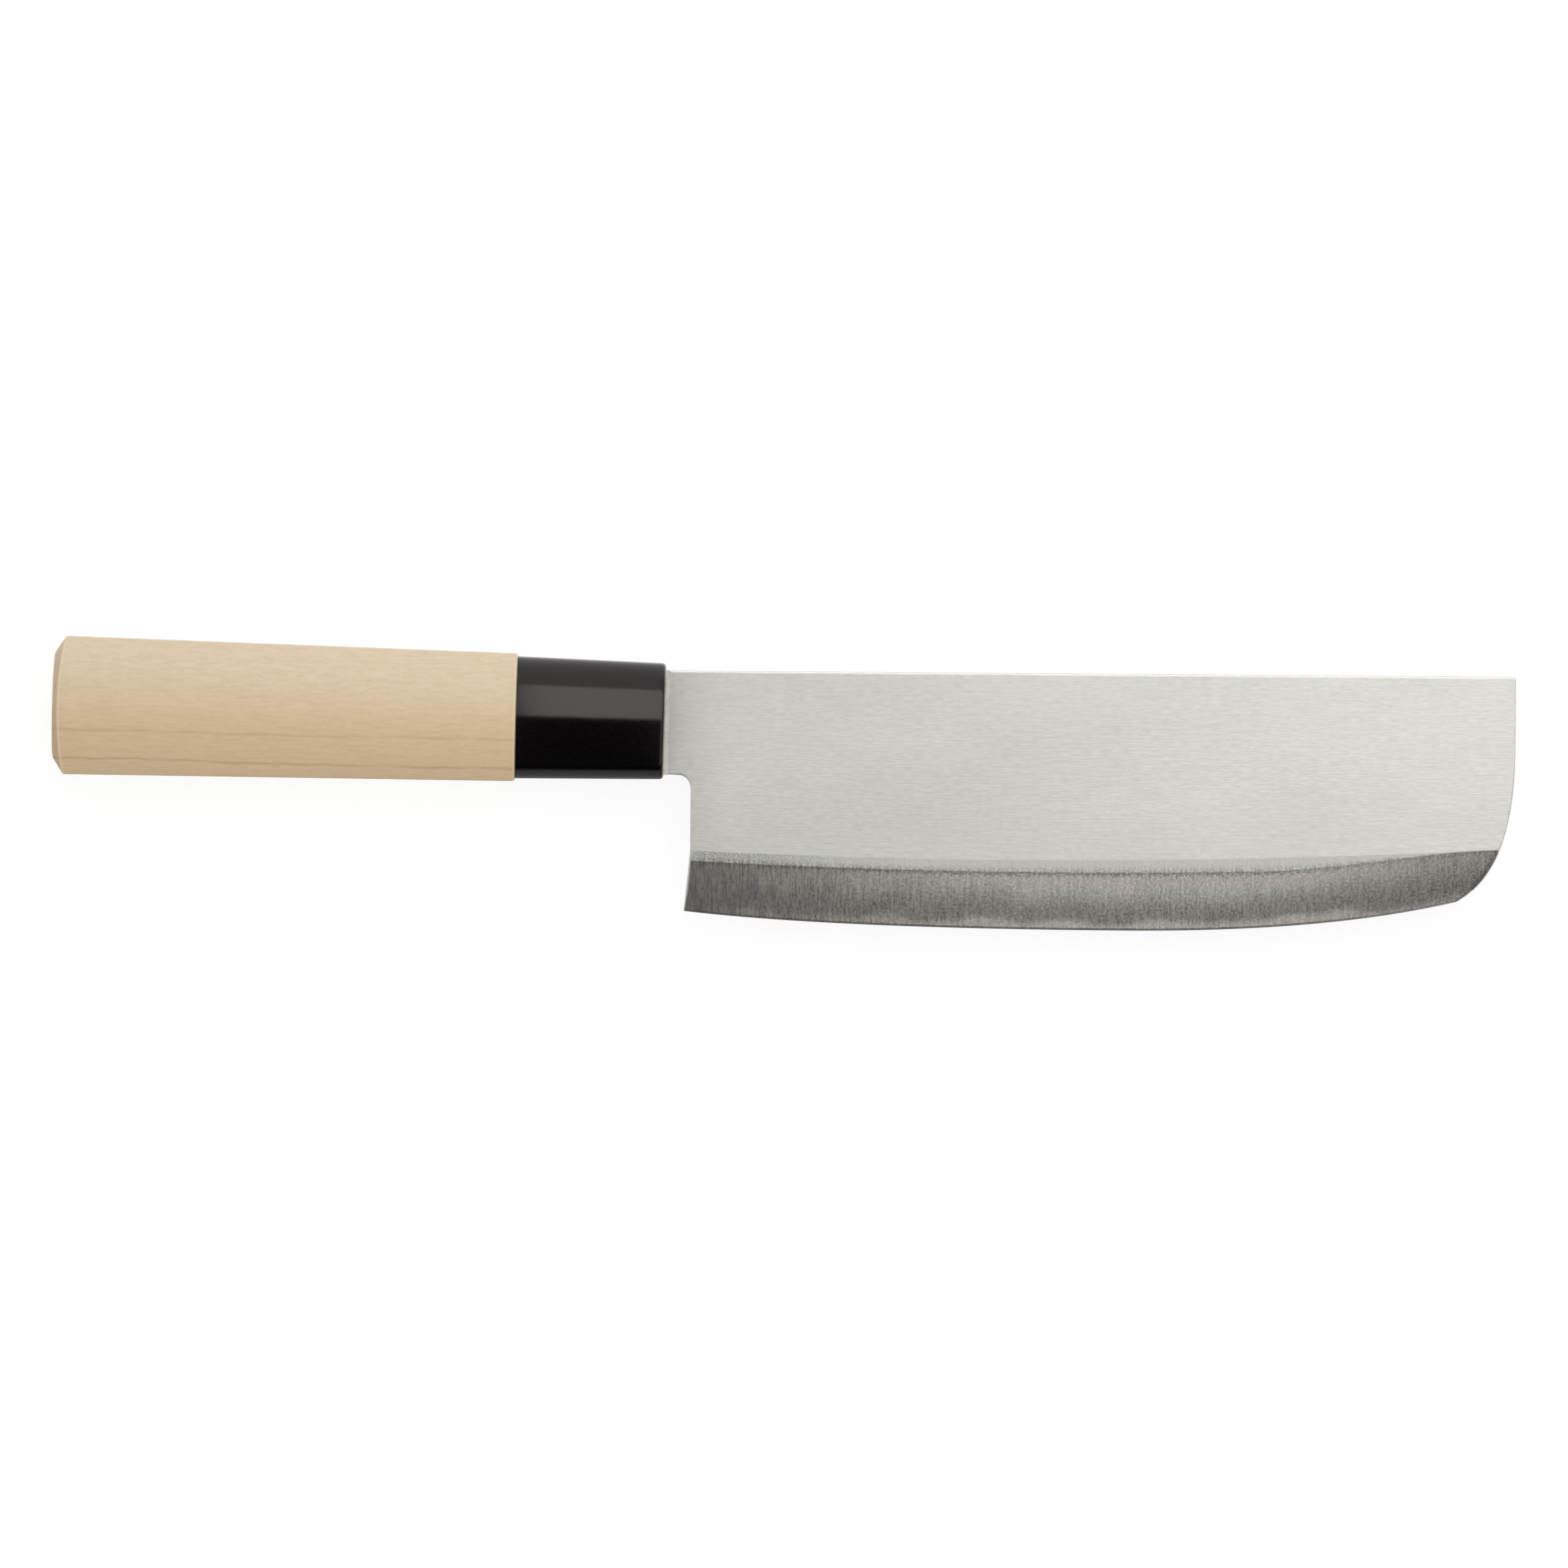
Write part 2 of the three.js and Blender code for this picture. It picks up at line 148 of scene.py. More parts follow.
# Fineness of the meshes
OVAL_SIDES = 144
EASE_STEPS = 4
RIM_STEPS = 3
BLADE_COLUMNS = 220
TANG_COLUMNS = 12
ROW_STEP = 0.0012
ARC_STEPS = 8
SHOULDER_STEPS = 3
BEVEL_STEPS = 12
CREASE_ANGLE = math.radians(24)
SETTLING_ROUNDS = 40

FERRULE_FRONT = FERRULE_REAR - FERRULE_TAPER
WOOD_FRONT = FERRULE_REAR + Vector((2 * WOOD_STEP, 2 * WOOD_STEP))
HALF_BLADE = BLADE_THICKNESS / 2
CHOIL_END_DEPTH = NECK_DEPTH + CHOIL_RADIUS
PIXEL = BLADE_LENGTH / BLADE_PIXELS
# Angles of the points of a ring round the handle
TURNS = [2 * math.pi * side / OVAL_SIDES for side in range(OVAL_SIDES)]


def lerp(a, b, share):
    return a + (b - a) * share


def smoothstep(low, high, value):
    share = min(max((value - low) / (high - low), 0), 1)
    return share * share * (3 - 2 * share)


def slope_of(degrees):
    return math.tan(math.radians(degrees))


def filled(stops, step):
    """The stops with even points between them, no further apart than a step."""
    values = [stops[0]]
    for low, high in zip(stops, stops[1:]):
        count = max(1, math.ceil((high - low) / step))
        values += [lerp(low, high, (i + 1) / count) for i in range(count)]
    return values


# Node trees

# Detail of the noise for soft marks, for most and for fine ones
SOFT, PLAIN, FINE = 2.0, 3.0, 4.0


class Tree:
    """A node tree with short calls for the nodes that the finishes use. A value may be a socket."""

    def __init__(self, owner):
        owner.use_nodes = True
        self.tree = owner.node_tree
        self.tree.nodes.clear()

    def add(self, kind, inputs, **settings):
        made = self.tree.nodes.new(kind)
        for name, value in settings.items():
            setattr(made, name, value)
        for key, value in inputs.items():
            if isinstance(value, bpy.types.NodeSocket):
                self.tree.links.new(value, made.inputs[key])
            else:
                made.inputs[key].default_value = value
        return made

    def math(self, operation, *values):
        return self.add("ShaderNodeMath", dict(enumerate(values)), operation=operation).outputs[0]

    def times(self, *values):
        product = values[0]
        for value in values[1:]:
            product = self.math("MULTIPLY", product, value)
        return product

    def ranged(self, value, low, high, to_low=0.0, to_high=1.0):
        """A smooth ramp: what lies between low and high becomes what lies between the last two."""
        inputs = {"Value": value, "From Min": low, "From Max": high, "To Min": to_low, "To Max": to_high}
        return self.add("ShaderNodeMapRange", inputs, interpolation_type="SMOOTHSTEP").outputs[0]

    def blend(self, share, a, b):
        """A share of the way from one number to another."""
        return self.add("ShaderNodeMix", {0: share, 2: a, 3: b}, data_type="FLOAT").outputs[0]

    def mix(self, share, a, b, blend_type="MIX"):
        """A share of the way from one colour to another."""
        inputs = {0: share, 6: a, 7: b}
        return self.add("ShaderNodeMix", inputs, data_type="RGBA", blend_type=blend_type).outputs[2]

    def marks(self, place, per_metre, detail=PLAIN):
        """Noise with so many marks in a metre along each axis of a place."""
        scaled = self.add("ShaderNodeMapping", {"Vector": place, "Scale": per_metre}).outputs[0]
        inputs = {"Vector": scaled, "Scale": 1.0, "Detail": detail}
        return self.add("ShaderNodeTexNoise", inputs).outputs[0]

    def split(self, vector):
        return self.add("ShaderNodeSeparateXYZ", {"Vector": vector}).outputs

    def joined(self, x, y, z):
        return self.add("ShaderNodeCombineXYZ", {"X": x, "Y": y, "Z": z}).outputs[0]

    def object_place(self):
        return self.add("ShaderNodeTexCoord", {}).outputs["Object"]

    def surface_place(self):
        return self.add("ShaderNodeUVMap", {}, uv_map="UVMap").outputs[0]

    def attribute(self, name):
        return self.add("ShaderNodeAttribute", {}, attribute_name=name).outputs["Fac"]

    def bump(self, height, strength, distance):
        inputs = {"Height": height, "Strength": strength, "Distance": distance}
        return self.add("ShaderNodeBump", inputs).outputs[0]

    def surface(self, inputs):
        shader = self.add("ShaderNodeBsdfPrincipled", inputs)
        self.add("ShaderNodeOutputMaterial", {"Surface": shader.outputs[0]})

    def metal(self, level, tint, roughness, bump, anisotropy=0.0, turn=0.0):
        """A metal of a grey level and a tint, with its sheen turned from the blade's length."""
        tangent = self.add("ShaderNodeTangent", {}, direction_type="UV_MAP", uv_map="UVMap")
        self.surface({
            "Base Color": self.mix(1.0, level, tint, "MULTIPLY"),
            "Metallic": 1.0,
            "Roughness": roughness,
            "Anisotropic": anisotropy,
            "Anisotropic Rotation": turn,
            "Tangent": tangent.outputs[0],
            "Normal": bump,
        })


def new_material(name):
    material = bpy.data.materials.new(name)
    return material, Tree(material)


def grey(level):
    return (level, level, level, 1.0)


# Finishes. Marks are so many in a metre: along the spine and in depth on the blade's faces, and along X,
# Y and Z elsewhere. Two numbers of a ramp are what it runs between, and two more are what it gives there.
# A relief is the strength and the height of a bump.

FLAT_TINT = (1.0, 0.99, 0.94, 1.0)
FLAT_STREAKS = (110, 3000, 1)
FLAT_SPECKS = (520, 3600, 1)
FLAT_SPECK_SHARE = 0.6
FLAT_CLOUDS = (22, 60, 1)
FLAT_CLOUDING = (0.3, 0.7, 0.975, 1.025)
# Darker with depth towards the shoulder
FLAT_BY_DEPTH = (0.01, 0.036, 1.0, 0.98)
# Painted shade on the neck beside the ferrule, then painted light growing towards the tip
FLAT_NECK_PAINTED_SHADE = (-0.002, 0.014, 0.84, 1.0)
FLAT_TIP_PAINTED_LIGHT = (0.03, 0.15, 0.91, 1.0)
FLAT_LEVEL = (0.32, 0.68, 0.66, 0.785)
FLAT_ROUGHNESS = (0.3, 0.7, 0.42, 0.47)
FLAT_RELIEF = (0.05, 0.00005)
FLAT_SHEEN = 0.3
# Share of a turn that lays the sheen across the blade
SHEEN_ACROSS = 0.25

GRINDING_LINES = (2000, 180, 1)
FINE_GRINDING_LINES = (3400, 700, 1)
FINE_LINE_SHARE = 0.45
GRIT = (2500, 2500, 1)
GRIT_SHARE = (0.0, 0.06, 0.25, 0.55)
# Marks for painted glints on the bevel and for grit on the shoulder
GLINT_AND_GRIT_MARKS = (3400, 4200, 1)
# Stretch from the heel over which the ground finish changes
HEEL_STRETCH = (0.0, 0.05)

BEVEL_TINT = (1.0, 0.955, 0.89, 1.0)
BEVEL_WANDER = (110, 60, 1)
BEVEL_WANDER_REACH = (0.3, 0.7, -0.07, 0.07)
BEVEL_COMB_REACH = (0.35, 0.65, -0.03, 0.05)
BEVEL_UPPER = (0.14, 0.70, 1.0, 0.33)
BEVEL_STRIP = (0.78, 0.95, 0.0, 0.66)
BEVEL_LINE = (0.02, 0.11)
BEVEL_LINE_SHADE = (0.11, 0.15, 0.44, 0.9)
# Painted shade: the bevel darker at the heel and at the tip than in its middle
BEVEL_HEEL_SHADE = (-0.012, 0.08)
BEVEL_TIP_SHADE = (0.12, 0.155, 1.0, 0.56)
BEVEL_LEVEL = (0.26, 0.59)
# Painted glints: sparse bright specks in the bevel's colour
BEVEL_PAINTED_GLINTS = (0.58, 0.72, 1.0, 1.3)
# Painted shade along the rim of the tip, where the bevel rolls over
BEVEL_RIM_SHADE = (0.0, 0.0014, 0.55, 1.0)
BEVEL_ROUGHNESS = (0.44, 0.6)
BEVEL_ROUGHENING = (0.3, 0.7, -0.03, 0.03)
BEVEL_RELIEF = (0.2, 0.00006)
# Darkest and palest streaks where the bevel is dark, over the heel's stretch, and where it is light
STREAK_BAND = (0.34, 0.66)
STREAK_DARK_IN_SHADE = (0.62, 0.42)
STREAK_DARK = 0.68
STREAK_PALE_IN_SHADE = (1.3, 1.5)
STREAK_PALE = 1.25

SHOULDER_LOW = (-0.6, 0.0)
SHOULDER_COMB = (0.42, 0.58, 0.38, 0.68)
SHOULDER_GRIT = (0.36, 0.64)
SHOULDER_GRIT_DARK = (0.42, 0.95)
SHOULDER_GRIT_PALE = 1.08
SHOULDER_LEVEL = (0.3, 0.7, 0.60, 0.71)
SHOULDER_ROUGHNESS = (0.3, 0.7, 0.45, 0.53)
SHOULDER_RELIEF = (0.1, 0.00005)
SHOULDER_SHEEN = 0.2

# Darker than the rest of the steel: painted shade along the cutting edge
HONED_SHADED_LEVEL = (0.3, 0.7, 0.24, 0.4)
HONED_ROUGHNESS = (0.3, 0.7, 0.2, 0.28)
HONED_RELIEF = (0.05, 0.00004)

WALL_MARKS = (900, 900, 120)
WALL_LEVEL = (0.3, 0.7, 0.7, 0.82)
WALL_ROUGHNESS = (0.3, 0.7, 0.38, 0.5)
WALL_RELIEF = (0.08, 0.00005)


def flat_steel():
    """Brushed along the blade: painted shade at the neck beside the ferrule, painted light growing
    towards the tip, darker by the shoulder.
    """
    material, tree = new_material("flat_steel")
    place = tree.surface_place()
    streaks = tree.marks(place, FLAT_STREAKS, FINE)
    brushed = tree.blend(FLAT_SPECK_SHARE, streaks, tree.marks(place, FLAT_SPECKS))
    clouds = tree.ranged(tree.marks(place, FLAT_CLOUDS), *FLAT_CLOUDING)
    along, depth = tree.split(place)[:2]
    darker_with_depth = tree.ranged(depth, *FLAT_BY_DEPTH)
    # Painted shade at the neck and painted light towards the tip
    painted_shade_and_light_along = tree.times(tree.ranged(along, *FLAT_NECK_PAINTED_SHADE), tree.ranged(along, *FLAT_TIP_PAINTED_LIGHT))
    level = tree.times(tree.ranged(brushed, *FLAT_LEVEL), clouds, darker_with_depth, painted_shade_and_light_along)
    roughness = tree.ranged(brushed, *FLAT_ROUGHNESS)
    relief = tree.bump(brushed, *FLAT_RELIEF)
    tree.metal(level, FLAT_TINT, roughness, relief, FLAT_SHEEN, SHEEN_ACROSS)
    return material


def grinding(tree):
    """Lines square to the edge: long ones, finer ones among them and the grit between."""
    place = tree.surface_place()
    long_lines = tree.marks(place, GRINDING_LINES)
    lines = tree.blend(FINE_LINE_SHARE, long_lines, tree.marks(place, FINE_GRINDING_LINES))
    share = tree.ranged(tree.split(place)["X"], *GRIT_SHARE)
    return tree.blend(share, lines, tree.marks(place, GRIT))


def bevel_finish_and_shade(tree):
    """From 0, smooth and dark, to 1, rough and pale: the ground finish with painted shade and light on
    it.

    The heel is dark and the tip darker than the middle, as painted shade. A dark line lies under the
    shoulder and a dark band above the pale strip along the edge, partly the finish and partly painted
    shade and light for how the bevel's curves mirror the lamps.
    """
    place = tree.surface_place()
    along = tree.split(place)["X"]
    grind = tree.attribute("grind")
    share = tree.math("ADD", grind, tree.ranged(tree.marks(place, BEVEL_WANDER), *BEVEL_WANDER_REACH))
    combed = tree.math("ADD", grind, tree.ranged(grinding(tree), *BEVEL_COMB_REACH))
    upper = tree.ranged(share, *BEVEL_UPPER)
    strip = tree.ranged(share, *BEVEL_STRIP)
    line = tree.ranged(combed, *BEVEL_LINE, tree.ranged(along, *BEVEL_LINE_SHADE), 1.0)
    # Painted shade at the heel and the tip
    heel = tree.ranged(along, *BEVEL_HEEL_SHADE)
    tip = tree.ranged(along, *BEVEL_TIP_SHADE)
    return tree.times(tree.math("ADD", upper, strip), line, heel, tip)


def bevel_steel():
    """Ground square to the edge, with streaks and painted glints, and painted shade by the rim of the
    tip.
    """
    material, tree = new_material("bevel_steel")
    place = tree.surface_place()
    along = tree.split(place)["X"]
    lines = grinding(tree)
    # The bevel's finish with its painted shade and light, from 0 to 1
    light = bevel_finish_and_shade(tree)
    darkest = tree.blend(light, tree.ranged(along, *HEEL_STRETCH, *STREAK_DARK_IN_SHADE), STREAK_DARK)
    palest = tree.blend(light, tree.ranged(along, *HEEL_STRETCH, *STREAK_PALE_IN_SHADE), STREAK_PALE)
    streaks = tree.ranged(lines, *STREAK_BAND, darkest, palest)
    # Painted glints in the steel's colour
    painted_glints = tree.ranged(tree.marks(place, GLINT_AND_GRIT_MARKS, SOFT), *BEVEL_PAINTED_GLINTS)
    # Painted shade by the rim of the tip
    rim = tree.ranged(tree.attribute("tip_gap"), *BEVEL_RIM_SHADE)
    level = tree.times(tree.blend(light, *BEVEL_LEVEL), streaks, painted_glints, rim)
    roughening = tree.ranged(lines, *BEVEL_ROUGHENING)
    roughness = tree.math("ADD", tree.blend(light, *BEVEL_ROUGHNESS), roughening)
    tree.metal(level, BEVEL_TINT, roughness, tree.bump(lines, *BEVEL_RELIEF))
    return material


def shoulder_steel():
    """A softly ground band, into which the ends of the bevel's grinding lines reach."""
    material, tree = new_material("shoulder_steel")
    place = tree.surface_place()
    lines = grinding(tree)
    low = tree.ranged(tree.attribute("grind"), *SHOULDER_LOW)
    comb = tree.ranged(lines, *SHOULDER_COMB)
    heel = tree.ranged(tree.split(place)["X"], *HEEL_STRETCH)
    darkest = tree.blend(heel, *SHOULDER_GRIT_DARK)
    grit = tree.ranged(tree.marks(place, GLINT_AND_GRIT_MARKS, SOFT), *SHOULDER_GRIT, darkest, SHOULDER_GRIT_PALE)
    level = tree.times(tree.blend(low, tree.ranged(lines, *SHOULDER_LEVEL), comb), grit)
    roughness = tree.ranged(lines, *SHOULDER_ROUGHNESS)
    relief = tree.bump(lines, *SHOULDER_RELIEF)
    tree.metal(level, FLAT_TINT, roughness, relief, SHOULDER_SHEEN, SHEEN_ACROSS)
    return material


def honed_steel():
    """The narrow facet of the cutting edge, finer than the rest and darker, as painted shade along the
    edge.
    """
    material, tree = new_material("honed_steel")
    lines = grinding(tree)
    level = tree.ranged(lines, *HONED_SHADED_LEVEL)
    roughness = tree.ranged(lines, *HONED_ROUGHNESS)
    tree.metal(level, FLAT_TINT, roughness, tree.bump(lines, *HONED_RELIEF))
    return material


def wall_steel():
    """Spine, heel and tip walls and the tang's edges, left as they were ground."""
    material, tree = new_material("wall_steel")
    marks = tree.marks(tree.object_place(), WALL_MARKS)
    level = tree.ranged(marks, *WALL_LEVEL)
    roughness = tree.ranged(marks, *WALL_ROUGHNESS)
    tree.metal(level, FLAT_TINT, roughness, tree.bump(marks, *WALL_RELIEF))
    return material


FERRULE_BLACK = (0.0016, 0.0012, 0.0014, 1.0)
FERRULE_GREY = (0.004, 0.0034, 0.0036, 1.0)
FERRULE_TINT = (1.0, 0.92, 0.90, 1.0)
FERRULE_SWELL = (60, 150, 150)
FERRULE_DUST = (2600, 2600, 2600)
FERRULE_GREYING = (0.45, 0.8)
FERRULE_ROUGHNESS = (0.3, 0.8, 0.11, 0.17)
FERRULE_IOR = 1.5
FERRULE_SPECULAR = 0.51
FERRULE_RELIEF = (0.06, 0.0004)


def gloss_black():
    """Moulded plastic with a faint unevenness in its gloss."""
    material, tree = new_material("gloss_black")
    place = tree.object_place()
    swell = tree.marks(place, FERRULE_SWELL, SOFT)
    dust = tree.marks(place, FERRULE_DUST, SOFT)
    tree.surface({
        "Base Color": tree.mix(tree.ranged(dust, *FERRULE_GREYING), FERRULE_BLACK, FERRULE_GREY),
        "Roughness": tree.ranged(dust, *FERRULE_ROUGHNESS),
        "IOR": FERRULE_IOR,
        "Specular IOR Level": FERRULE_SPECULAR,
        "Specular Tint": FERRULE_TINT,
        "Normal": tree.bump(swell, *FERRULE_RELIEF),
    })
    return material


# The wood's tone at the top of the handle, paled by painted sheen; below it turns warm
WOOD_SHEENED_TOP = (0.655, 0.535, 0.378, 1.0)
WOOD_WARM = (0.65, 0.483, 0.293, 1.0)
WOOD_FIBRE = (0.50, 0.36, 0.215, 1.0)
WOOD_LINE = (0.40, 0.25, 0.125, 1.0)
# Paler than end grain is: painted light on the butt, which the lamps hardly reach
WOOD_END_LIT = (0.76, 0.62, 0.44, 1.0)
# Tone of the eased edges: wear, and a painted highlight where they would catch the light
WOOD_WORN_AND_LIT = (0.80, 0.67, 0.48, 1.0)
WORN_AND_LIT_SHARE = 0.4
CUT_SHARE = 0.22
# Heights from the handle's axis over which the wood turns from warm to pale: painted sheen, palest
# towards the spine's side where the lamps fall
WOOD_SHEEN_RAMP = (-0.008, 0.011)
WOOD_SWAY = (26, 40, 40)
WOOD_SWAY_REACH = 0.00028
WOOD_WIGGLE = (170, 60, 60)
WOOD_WIGGLE_REACH = (0.3, 0.7, -0.00012, 0.00012)
WOOD_LAYERS = (3, 420, 3)
WOOD_LAYER_SHARE = (0.3, 0.7, 0.0, 0.08)
WOOD_FIBRES = (280, 1700, 1700)
WOOD_FIBRE_SHARE = (0.35, 0.7, 0.0, 0.28)
WOOD_PORES = (800, 2600, 2600)
WOOD_PORE_SHARE = (0.52, 0.72, 0.0, 0.3)
# Two dark growth lines, as heights below the handle's axis, and the share of their colour
GROWTH_LINES = ((0.0046, 0.32), (0.0101, 0.46))
GROWTH_LINE_WIDTH = 0.00045
GROWTH_BREAKS = (70, 1, 1)
GROWTH_BREAK_SHARE = (0.35, 0.55, 0.3, 1.0)
WOOD_ROUGHNESS = (0.3, 0.7, 0.48, 0.6)
WOOD_SPECULAR = 0.5
WOOD_RELIEF = (0.1, 0.00008)
SWAY_BAND = (0.2, 0.8)


def layered_place(tree, sway, reach):
    """Object place whose height wanders by up to a reach, as the growth layers do."""
    place = tree.object_place()
    x, y, z = tree.split(place)
    wander = tree.ranged(tree.marks(place, sway, SOFT), *SWAY_BAND, -reach, reach)
    return tree.joined(x, tree.math("ADD", y, wander), z)


def grown_wood(tree, place, fibres, pores):
    """Colour of the wood: warm to pale up its height as painted sheen, with layers, fibres, pores and
    growth lines.
    """
    layered = layered_place(tree, WOOD_SWAY, WOOD_SWAY_REACH)
    wiggle = tree.ranged(tree.marks(place, WOOD_WIGGLE), *WOOD_WIGGLE_REACH)
    height = tree.math("ADD", tree.split(layered)["Y"], tree.math("SUBTRACT", wiggle, MOUTH.y))
    layers = tree.marks(layered, WOOD_LAYERS, SOFT)
    # Painted sheen: paler up the handle's height
    colour = tree.mix(tree.ranged(height, *WOOD_SHEEN_RAMP), WOOD_WARM, WOOD_SHEENED_TOP)
    colour = tree.mix(tree.ranged(layers, *WOOD_LAYER_SHARE), colour, WOOD_FIBRE)
    colour = tree.mix(tree.ranged(fibres, *WOOD_FIBRE_SHARE), colour, WOOD_FIBRE)
    colour = tree.mix(tree.ranged(pores, *WOOD_PORE_SHARE), colour, WOOD_FIBRE)
    breaks = tree.ranged(tree.marks(place, GROWTH_BREAKS, FINE), *GROWTH_BREAK_SHARE)
    for below, strength in GROWTH_LINES:
        away = tree.math("ABSOLUTE", tree.math("ADD", height, below))
        line = tree.times(tree.ranged(away, 0.0, GROWTH_LINE_WIDTH, strength, 0.0), breaks)
        colour = tree.mix(line, colour, WOOD_LINE)
    return colour


def pale_wood(name, share, tone):
    """Plain straight-grained wood that takes on a share of another tone: a paler one on eased edges, for
    wear and a painted highlight, and a darker one where it is cut.
    """
    material, tree = new_material(name)
    place = tree.object_place()
    fibres = tree.marks(place, WOOD_FIBRES, FINE)
    pores = tree.marks(place, WOOD_PORES, SOFT)
    tree.surface({
        "Base Color": tree.mix(share, grown_wood(tree, place, fibres, pores), tone),
        "Roughness": tree.ranged(fibres, *WOOD_ROUGHNESS),
        "Specular IOR Level": WOOD_SPECULAR,
        "Normal": tree.bump(tree.math("ADD", fibres, pores), *WOOD_RELIEF),
    })
    return material


END_SWAY = (90, 90, 90)
END_SWAY_REACH = 0.0012
END_LAYERS = (1, 520, 1)
END_LAYER_SHARE = (0.3, 0.7, 0.3, 1.0)
END_PORES = (4200, 4200, 4200)
END_PORE_SHARE = (0.5, 0.75, 0.0, 0.35)
END_ROUGHNESS = (0.3, 0.7, 0.62, 0.75)
END_SPECULAR = 0.3
END_RELIEF = (0.15, 0.0001)


def end_grain():
    """The butt: the same layers, with the open ends of the fibres, paler than end grain as painted light
    on a face the lamps hardly reach.
    """
    material, tree = new_material("end_grain")
    pores = tree.marks(tree.object_place(), END_PORES, SOFT)
    layers = tree.marks(layered_place(tree, END_SWAY, END_SWAY_REACH), END_LAYERS, SOFT)
    colour = tree.mix(tree.ranged(layers, *END_LAYER_SHARE), WOOD_WARM, WOOD_END_LIT)
    tree.surface({
        "Base Color": tree.mix(tree.ranged(pores, *END_PORE_SHARE), colour, WOOD_LINE),
        "Roughness": tree.ranged(pores, *END_ROUGHNESS),
        "Specular IOR Level": END_SPECULAR,
        "Normal": tree.bump(pores, *END_RELIEF),
    })
    return material


RESIN_CLOUDS = (900, 900, 900)
RESIN_CLOUD_BAND = (0.3, 0.7)
RESIN_ROUGHNESS_SPREAD = 0.06
RESIN_RELIEF = (0.2, 0.0001)
# Pale colour, dark colour and roughness of each resin
SEAL_RESIN = ((0.6, 0.58, 0.53, 1.0), (0.5, 0.48, 0.43, 1.0), 0.45)
BEDDING_RESIN = ((0.4, 0.32, 0.17, 1.0), (0.3, 0.22, 0.1, 1.0), 0.5)


def resin(name, pale, dark, roughness):
    """Cured resin, cloudy and a little lumpy."""
    material, tree = new_material(name)
    clouds = tree.marks(tree.object_place(), RESIN_CLOUDS)
    smoothest, roughest = roughness - RESIN_ROUGHNESS_SPREAD, roughness + RESIN_ROUGHNESS_SPREAD
    tree.surface({
        "Base Color": tree.mix(tree.ranged(clouds, *RESIN_CLOUD_BAND), pale, dark),
        "Roughness": tree.ranged(clouds, *RESIN_CLOUD_BAND, smoothest, roughest),
        "Normal": tree.bump(clouds, *RESIN_RELIEF),
    })
    return material


# Pieces

def add_object(name, data):
    made = bpy.data.objects.new(name, data)
    bpy.context.scene.collection.objects.link(made)
    return made


def mesh_object(name, mesh, materials):
    """An object from a bmesh, which is used up."""
    data = bpy.data.meshes.new(name)
    mesh.to_mesh(data)
    mesh.free()
    for material in materials:
        data.materials.append(material)
    return add_object(name, data)


def piece(name, mesh, node, materials):
    """Puts a finished bmesh, made in the handle's frame, in place of a node of the frame."""
    bmesh.ops.translate(mesh, verts=mesh.verts, vec=MOUTH)
    made = mesh_object(name, mesh, materials)
    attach(made, "root")
    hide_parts(node)


def finish_faces(mesh):
    """Turns the faces outward and smooths them, apart from edges past the crease's angle."""
    bmesh.ops.recalc_face_normals(mesh, faces=mesh.faces)
    for face in mesh.faces:
        face.smooth = True
    for edge in mesh.edges:
        edge.smooth = edge.is_manifold and edge.calc_face_angle() < CREASE_ANGLE


# Blade

def curve_at(value, start, control, end):
    """The second coordinate of a quadratic curve where its first one has a value."""
    bend = start[0] - 2 * control[0] + end[0]
    rate = 2 * (control[0] - start[0])
    gone = value - start[0]
    share = 2 * gone / (rate + math.sqrt(rate * rate + 4 * bend * gone))
    near = lerp(start[1], control[1], share)
    return lerp(near, lerp(control[1], end[1], share), share)


def edge_depth(along):
    """Depth of the cutting edge, carried straight on past the tip's corner."""
    if along > TIP_CORNER_X:
        return TIP_CORNER_DEPTH - (along - TIP_CORNER_X) * slope_of(TIP_EDGE_SLOPE_DEG)
    belly = (BELLY_X, BLADE_DEPTH)
    if along > BELLY_X:
        run = (BLADE_DEPTH - TIP_CORNER_DEPTH) / slope_of(TIP_EDGE_SLOPE_DEG)
        corner = (TIP_CORNER_X, TIP_CORNER_DEPTH)
        return curve_at(along, belly, (TIP_CORNER_X - run, BLADE_DEPTH), corner)
    if along < HEEL_X:
        return HEEL_DEPTH - (HEEL_X - along) * slope_of(HEEL_SLOPE_DEG)
    run = (BLADE_DEPTH - HEEL_DEPTH) / slope_of(HEEL_SLOPE_DEG)
    return curve_at(along, (HEEL_X, HEEL_DEPTH), (HEEL_X + run, BLADE_DEPTH), belly)


def shoulder_depth(along):
    share = along / BLADE_LENGTH
    bow = (SHOULDER_HEEL_HEIGHT + SHOULDER_TIP_HEIGHT) / 2 - SHOULDER_MIDDLE_HEIGHT
    straight = lerp(SHOULDER_HEEL_HEIGHT, SHOULDER_TIP_HEIGHT, share)
    return BLADE_DEPTH - straight + 4 * bow * share * (1 - share)


def shoulder_width(along):
    width = SHOULDER_WIDTH + SHOULDER_WIDENING * along / BLADE_LENGTH
    return max(width * smoothstep(*SHOULDER_FADE, BLADE_LENGTH - along), SHOULDER_LEAST_WIDTH)


